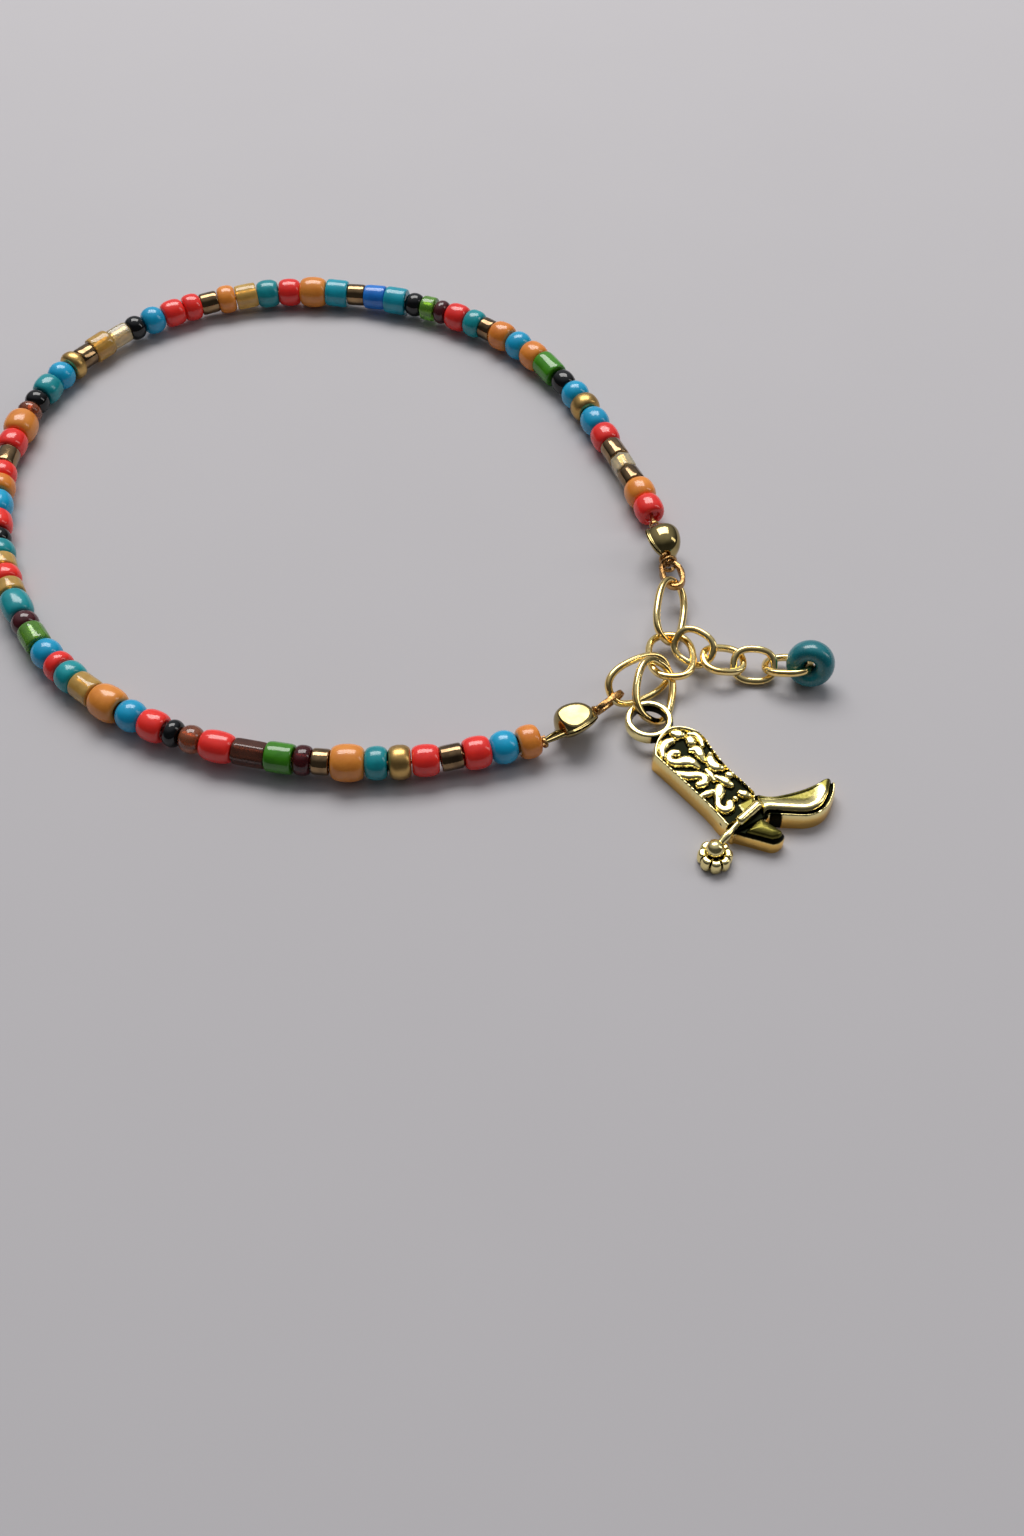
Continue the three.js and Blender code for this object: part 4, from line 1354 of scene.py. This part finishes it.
    def foot_face(self, points: Array, foot: Array) -> Face:
        """Height, black and olive painted reflection of the foot.

        From the sole inwards come a thin lip, a groove, a ridge and a hollowed band up to the
        rim along the instep.
        """
        x = points[:, 0]
        sole, _ = line_distance(points, SOLE.points())
        instep, _ = line_distance(points, INSTEP.points())
        lip = self.lip_rise * dome((sole - self.lip_middle) / self.lip_half, self.edge_flatness)
        slope = (self.relief - self.groove_floor) * dome((self.ridge - sole) / self.ridge_half)
        behind = self.relief - self.hollow * ease(sole, self.ridge, self.ridge + self.hollow_width)
        rim = dome((instep - self.rim_half) / self.rim_half) * (1 - ease(x, *self.rim_end))
        past_corner = ease(instep, *self.corner_span)
        stepped = np.where(sole < self.ridge, self.groove_floor + np.maximum(lip, slope), behind)
        height = behind * (1 - past_corner) + stepped * past_corner + self.rim_rise * rim
        recess = np.maximum(band(sole, *self.sole_line) * past_corner,
                            self.instep_dark * band(instep, *self.instep_line))
        # painted reflection: olive, with more roughness, on the band behind the ridge
        hollowed = ease(sole, *(self.ridge + past for past in self.dull_and_olive_past_ridge))
        # painted shade: the toe tip is made olive and rougher, which hides its highlight
        tip = ease(x, *self.tip_span) * ease(sole, *self.tip_inset)
        dulling = self.dull_and_olive_share * np.maximum(hollowed, tip) * ease(foot, *self.foot_edge)
        return height, recess, dulling

    def heel_face(self, points: Array) -> Face:
        """Height, black and olive painted reflection of the heel: a raised panel in a black sunk
        field.
        """
        panel = -signed_distance(points, HEEL_PANEL)
        swell = dome(1 - np.clip(panel, 0, self.panel_half) / self.panel_half)
        height = (self.heel_ground + self.panel_step * ease(panel, *self.panel_span)
                  + self.panel_dome * swell)
        return height, 1 - ease(panel, *self.panel_line), np.full(len(points), self.heel_dull_and_olive)

    def fields(self, points: Array) -> Face:
        """Height, black and olive painted reflection of the face at points of the boot's plane."""
        x, y = points.T
        shaft, foot, heel = (-signed_distance(points, shape) for shape in BODIES)
        toe_side = ease(x - self.foot_lean * y, *self.foot_span)
        share = np.where(foot > 0, toe_side, 0)
        on_heel = (heel > 0) & (y < self.heel_top) & ((toe_side < 0.5) | (foot < 0))
        height, recess, dulling = (
            np.where(on_heel, of_heel, of_shaft * (1 - share) + of_foot * share)
            for of_shaft, of_foot, of_heel in zip(self.shaft_face(points, shaft, toe_side),
                                                  self.foot_face(points, foot),
                                                  self.heel_face(points)))
        inside = np.maximum.reduce([shaft, foot, heel])
        rounding = np.clip(1 - inside / self.edge_width, 0, 1) ** 2
        recess = np.clip(recess * ease(inside, *self.bare_span), 0, 1)
        return height - self.edge_drop * rounding, recess, np.clip(dulling, 0, 1)

    def casting(self) -> Surface:
        """The flat casting: a square grid cut to the outline, whose edge points are moved onto it,
        lifted to the face's height and closed by a wall and a flat back."""
        every = np.vstack([shape.points() for shape in BODIES])
        border = self.margin * self.cell
        low = every.min(axis=0) - border
        count = np.ceil((every.max(axis=0) + border - low) / self.cell).astype(int) + 1
        x, y = (low[k] + self.cell * np.arange(count[k]) for k in range(2))
        flat = np.stack(np.meshgrid(x, y, indexing="ij"), axis=-1).reshape(-1, 2)

        def distance(points: Array) -> Array:
            """Signed distance to the joined outline."""
            return np.minimum.reduce([signed_distance(points, shape) for shape in BODIES])

        gap = distance(flat)
        i, j = np.meshgrid(np.arange(count[0] - 1), np.arange(count[1] - 1), indexing="ij")
        corner = i * count[1] + j
        cells = np.stack([corner, corner + count[1], corner + count[1] + 1, corner + 1],
                         axis=-1).reshape(-1, 4)
        cells = cells[(gap[cells] < self.kept_share * self.cell).all(axis=1)]
        edges = np.vstack([cells[:, [k, (k + 1) % 4]] for k in range(4)])
        _, where, times = np.unique(np.sort(edges, axis=1), axis=0, return_index=True,
                                    return_counts=True)
        rim = edges[where[times == 1]]
        on_rim = np.unique(rim)
        for _ in range(self.rim_rounds):
            spots = flat[on_rim]
            here = distance(spots)
            slope = np.stack([distance(spots + np.eye(2)[k] * self.probe) - here for k in range(2)],
                             axis=-1) / self.probe
            slope /= np.maximum(np.linalg.norm(slope, axis=1)[:, None], self.least_slope)
            flat[on_rim] = spots - here[:, None] * slope
        used = np.unique(cells)
        size = len(used)
        number = np.full(len(flat), -1)
        number[used] = np.arange(size)
        cells, rim = number[cells], number[rim]
        height, recess, dulling = self.fields(flat[used])
        points = np.vstack([np.c_[flat[used], height], np.c_[flat[used], np.zeros(size)]])
        wall = np.c_[rim[:, 0], rim[:, 1], rim[:, 1] + size, rim[:, 0] + size]
        quads = np.vstack([cells, cells[:, ::-1] + size, wall])
        x, y = flat[used].T
        # painted shade: black under the arch, on the face and on the wall
        arch_shade = band(x, *self.arch) * (y < self.arch_top)
        # walls and back, which take the warmer gold as painted reflection
        side = np.zeros(size)
        side[np.unique(rim)] = 1.0
        recess = np.maximum(recess * (1 - side), arch_shade)
        values = {"recess": np.append(recess, arch_shade),
                  "dulling": np.append(dulling * (1 - side), np.zeros(size)),
                  "side": np.append(side, np.ones(size))}
        return Surface(points, quads, np.zeros((0, 3), int), np.zeros(len(quads), int),
                       np.zeros(0, int), values)

    def loop(self) -> Surface:
        """The cast ring at the top: a squared section turned about an upright axis."""
        width = self.loop_outer - self.loop_inner
        section = oval_section(width, self.loop_top - self.loop_bottom, self.loop_squareness,
                               self.loop_sides)
        across = self.loop_outer + self.loop_inner
        ring = oval_ring(across, across - HAIR, section, self.loop_sections)
        inner = np.clip(-np.tile(section[:, 0], self.loop_sections) / (width / 2), 0, 1)
        lift = (self.loop_bottom + self.loop_top) / 2
        ring = ring.placed((0, 0, 0), (*self.loop_middle, lift))
        # painted shade: black where the loop meets the shaft, below its top
        joint_shade = 1 - ease(signed_distance(ring.points[:, :2], SHAFT), *self.joint_span)
        joint_shade *= ring.points[:, 2] < self.loop_top - self.joint_below_top
        ring.values = {"recess": np.maximum(inner ** 4, joint_shade)}
        return ring

    def spur(self) -> list[Surface]:
        """The strap bar, the waisted shank, the ball and the rowel."""
        share = np.linspace(0, 1, self.bar_points)
        strap, shank = (np.linspace(*np.array(ends), self.bar_points)
                        for ends in (self.strap_ends, self.shank_ends))
        blunt = np.maximum(dome(2 * share - 1, self.strap_flatness), self.strap_end_share)
        swell = np.sin(np.pi * share) ** 2 * ease(share, *self.shank_span)
        angle = np.linspace(self.ball_pole, np.pi - self.ball_pole, self.bar_points)
        ball = self.ball_middle - self.ball_radius * np.outer(np.cos(angle), [1.0, 0.0, 0.0])
        return [tube(strap, self.strap_half * blunt, self.strap_sides),
                tube(shank, self.shank_half + self.shank_swell * swell, self.shank_sides),
                tube(ball, self.ball_radius * np.sin(angle), self.ball_sides), self.rowel()]

    def rowel(self) -> Surface:
        """The star wheel: plump round petals with narrow black cuts between them, whose height is
        a hump of the distance from the middle, round a sunk hub."""
        angle = round_angles(self.rowel_around)[None]
        petal = np.abs(np.cos(self.rowel_points * angle / 2)) ** self.petal_power
        reach = self.rowel_radius * (1 - self.petal_depth * (1 - petal))
        outward = np.linspace(self.rowel_start, 1, self.rowel_rings)
        plump = dome((outward - self.petal_middle) / self.petal_half, self.petal_flatness)
        share = np.concatenate([outward, outward[::-1]])[:, None]
        below = np.full(self.rowel_rings, -self.rowel_half)
        lift = np.concatenate([self.hub_height + self.rowel_half * plump, below])[:, None]
        on_top = lift > 0
        cuts = ease(share, *self.cut_span) * (1 - ease(petal, *self.cut_sides)) * on_top
        radius = share * reach
        points = np.stack([radius * np.cos(angle), radius * np.sin(angle),
                           lift - self.cut_depth * cuts], axis=-1)
        trough = (1 - ease(lift, *self.trough_span)) * on_top
        recess = np.clip(np.maximum(cuts, trough), 0, 1)
        wheel = grid(points, False, True, 0, {"recess": recess}, capped=True)
        return wheel.placed((90 / self.rowel_points, 0, 0), self.rowel_middle)

    def build(self) -> Thing:
        """Makes the piece."""
        whole = joined([self.casting(), self.loop(), *self.spur()])
        return make_piece("boot_casting", whole.placed((self.yaw, 0, 0), self.at), [ANTIQUE_GOLD],
                          ("boot_charm",), sharp_angle=50.0)


# Stage

@dataclass(frozen=True)
class Lamp:
    """A soft rectangular light that faces the bracelet, with its place and size in metres."""

    name: str
    at: Triple
    size: Pair
    watts: float
    color: Color

    def build(self) -> None:
        """Makes the light and turns its face to the origin."""
        data = bpy.data.lights.new(self.name, "AREA")
        data.shape = "RECTANGLE"
        data.size, data.size_y = self.size
        data.energy = self.watts
        data.color = self.color
        x, y, z = self.at
        lamp = put_in_scene(self.name, data)
        lamp.location = self.at
        lamp.rotation_euler = (math.atan2(math.hypot(x, y), z), 0, math.atan2(x, -y))


@dataclass
class Stage:
    """Floor, camera, lights and the room's glow."""

    camera_at: Triple = (10.94, -99.16, 95.9)
    look_down_degrees: float = 52.69
    focal_pixels: float = 1500.0
    frame_height_pixels: float = 1536.0
    sensor_height_mm: float = 24.0
    nearest_m: float = 0.002
    floor_half_m: float = 1.5
    window: Lamp = Lamp("window", (-0.03, 0.29, 0.45), (0.46, 0.28), 2.55, (1.0, 0.985, 0.96))
    side: Lamp = Lamp("side", (0.42, 0.02, 0.26), (0.1, 0.3), 0.25, (1.0, 0.97, 0.93))
    glow_span: Pair = (0.25, 1.0)
    glow_strength: Pair = (0.06, 0.5)
    glow_color: Color = (0.93, 0.95, 1.0)

    def build(self) -> None:
        """Makes the floor, the camera, the lights and the surroundings."""
        self.floor()
        self.camera()
        self.window.build()
        self.side.build()
        self.surroundings()

    def floor(self) -> None:
        """A plain flat floor just under the bracelet."""
        half = self.floor_half_m
        mesh = bpy.data.meshes.new("floor")
        mesh.from_pydata([(-half, -half, 0), (half, -half, 0), (half, half, 0), (-half, half, 0)], [],
                         [(0, 1, 2, 3)])
        mesh.materials.append(FLOOR.material())
        floor = put_in_scene("floor", mesh)

    def camera(self) -> None:
        """The camera at the photograph's place and angle."""
        data = bpy.data.cameras.new("camera")
        data.sensor_fit = "VERTICAL"
        data.sensor_height = self.sensor_height_mm
        data.lens = self.focal_pixels / self.frame_height_pixels * self.sensor_height_mm
        data.clip_start = self.nearest_m
        camera = put_in_scene("camera", data)
        camera.location = [value * MM for value in self.camera_at]
        camera.rotation_euler = (math.radians(90 - self.look_down_degrees), 0, 0)
        bpy.context.scene.camera = camera

    def surroundings(self) -> None:
        """A dim room with a glow round the window: its strength rises with the cosine between a
        direction and the window's."""
        world = bpy.data.worlds.new("room")
        world.use_nodes = True
        tree = world.node_tree
        place = tree.nodes.new("ShaderNodeTexCoord")
        toward = tree.nodes.new("ShaderNodeVectorMath")
        toward.operation = "DOT_PRODUCT"
        toward.inputs[1].default_value = unit(np.array(self.window.at))
        spread = tree.nodes.new("ShaderNodeMapRange")
        spread.interpolation_type = "SMOOTHSTEP"
        for socket, number in zip(MAP_SOCKETS, (*self.glow_span, *self.glow_strength)):
            spread.inputs[socket].default_value = number
        tree.links.new(place.outputs["Generated"], toward.inputs[0])
        tree.links.new(toward.outputs["Value"], spread.inputs["Value"])
        background = tree.nodes["Background"]
        background.inputs["Color"].default_value = (*self.glow_color, 1.0)
        tree.links.new(spread.outputs["Result"], background.inputs["Strength"])
        bpy.context.scene.world = world
        bpy.context.scene.view_settings.view_transform = "Standard"


def main() -> None:
    """Builds the bracelet piece by piece."""
    logging.basicConfig(level=logging.INFO, format="%(name)s: %(message)s")
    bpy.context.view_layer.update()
    Stage().build()
    thread = Thread()
    near = BeadString("near_beads", "bead_string_near", NEAR_BEADS, thread, seed=11)
    far = BeadString("far_beads", "bead_string_far", FAR_BEADS, thread, seed=12)
    start = (thread.length - near.rooms.sum() - far.rooms.sum()) / 2
    near.build(start, 0.0, None)
    far.build(start + near.rooms.sum(), None, thread.length)
    for part in (*TIPS, *LINKS, EndBead(), BootCharm()):
        part.build()


if __name__ == "__main__":
    main()
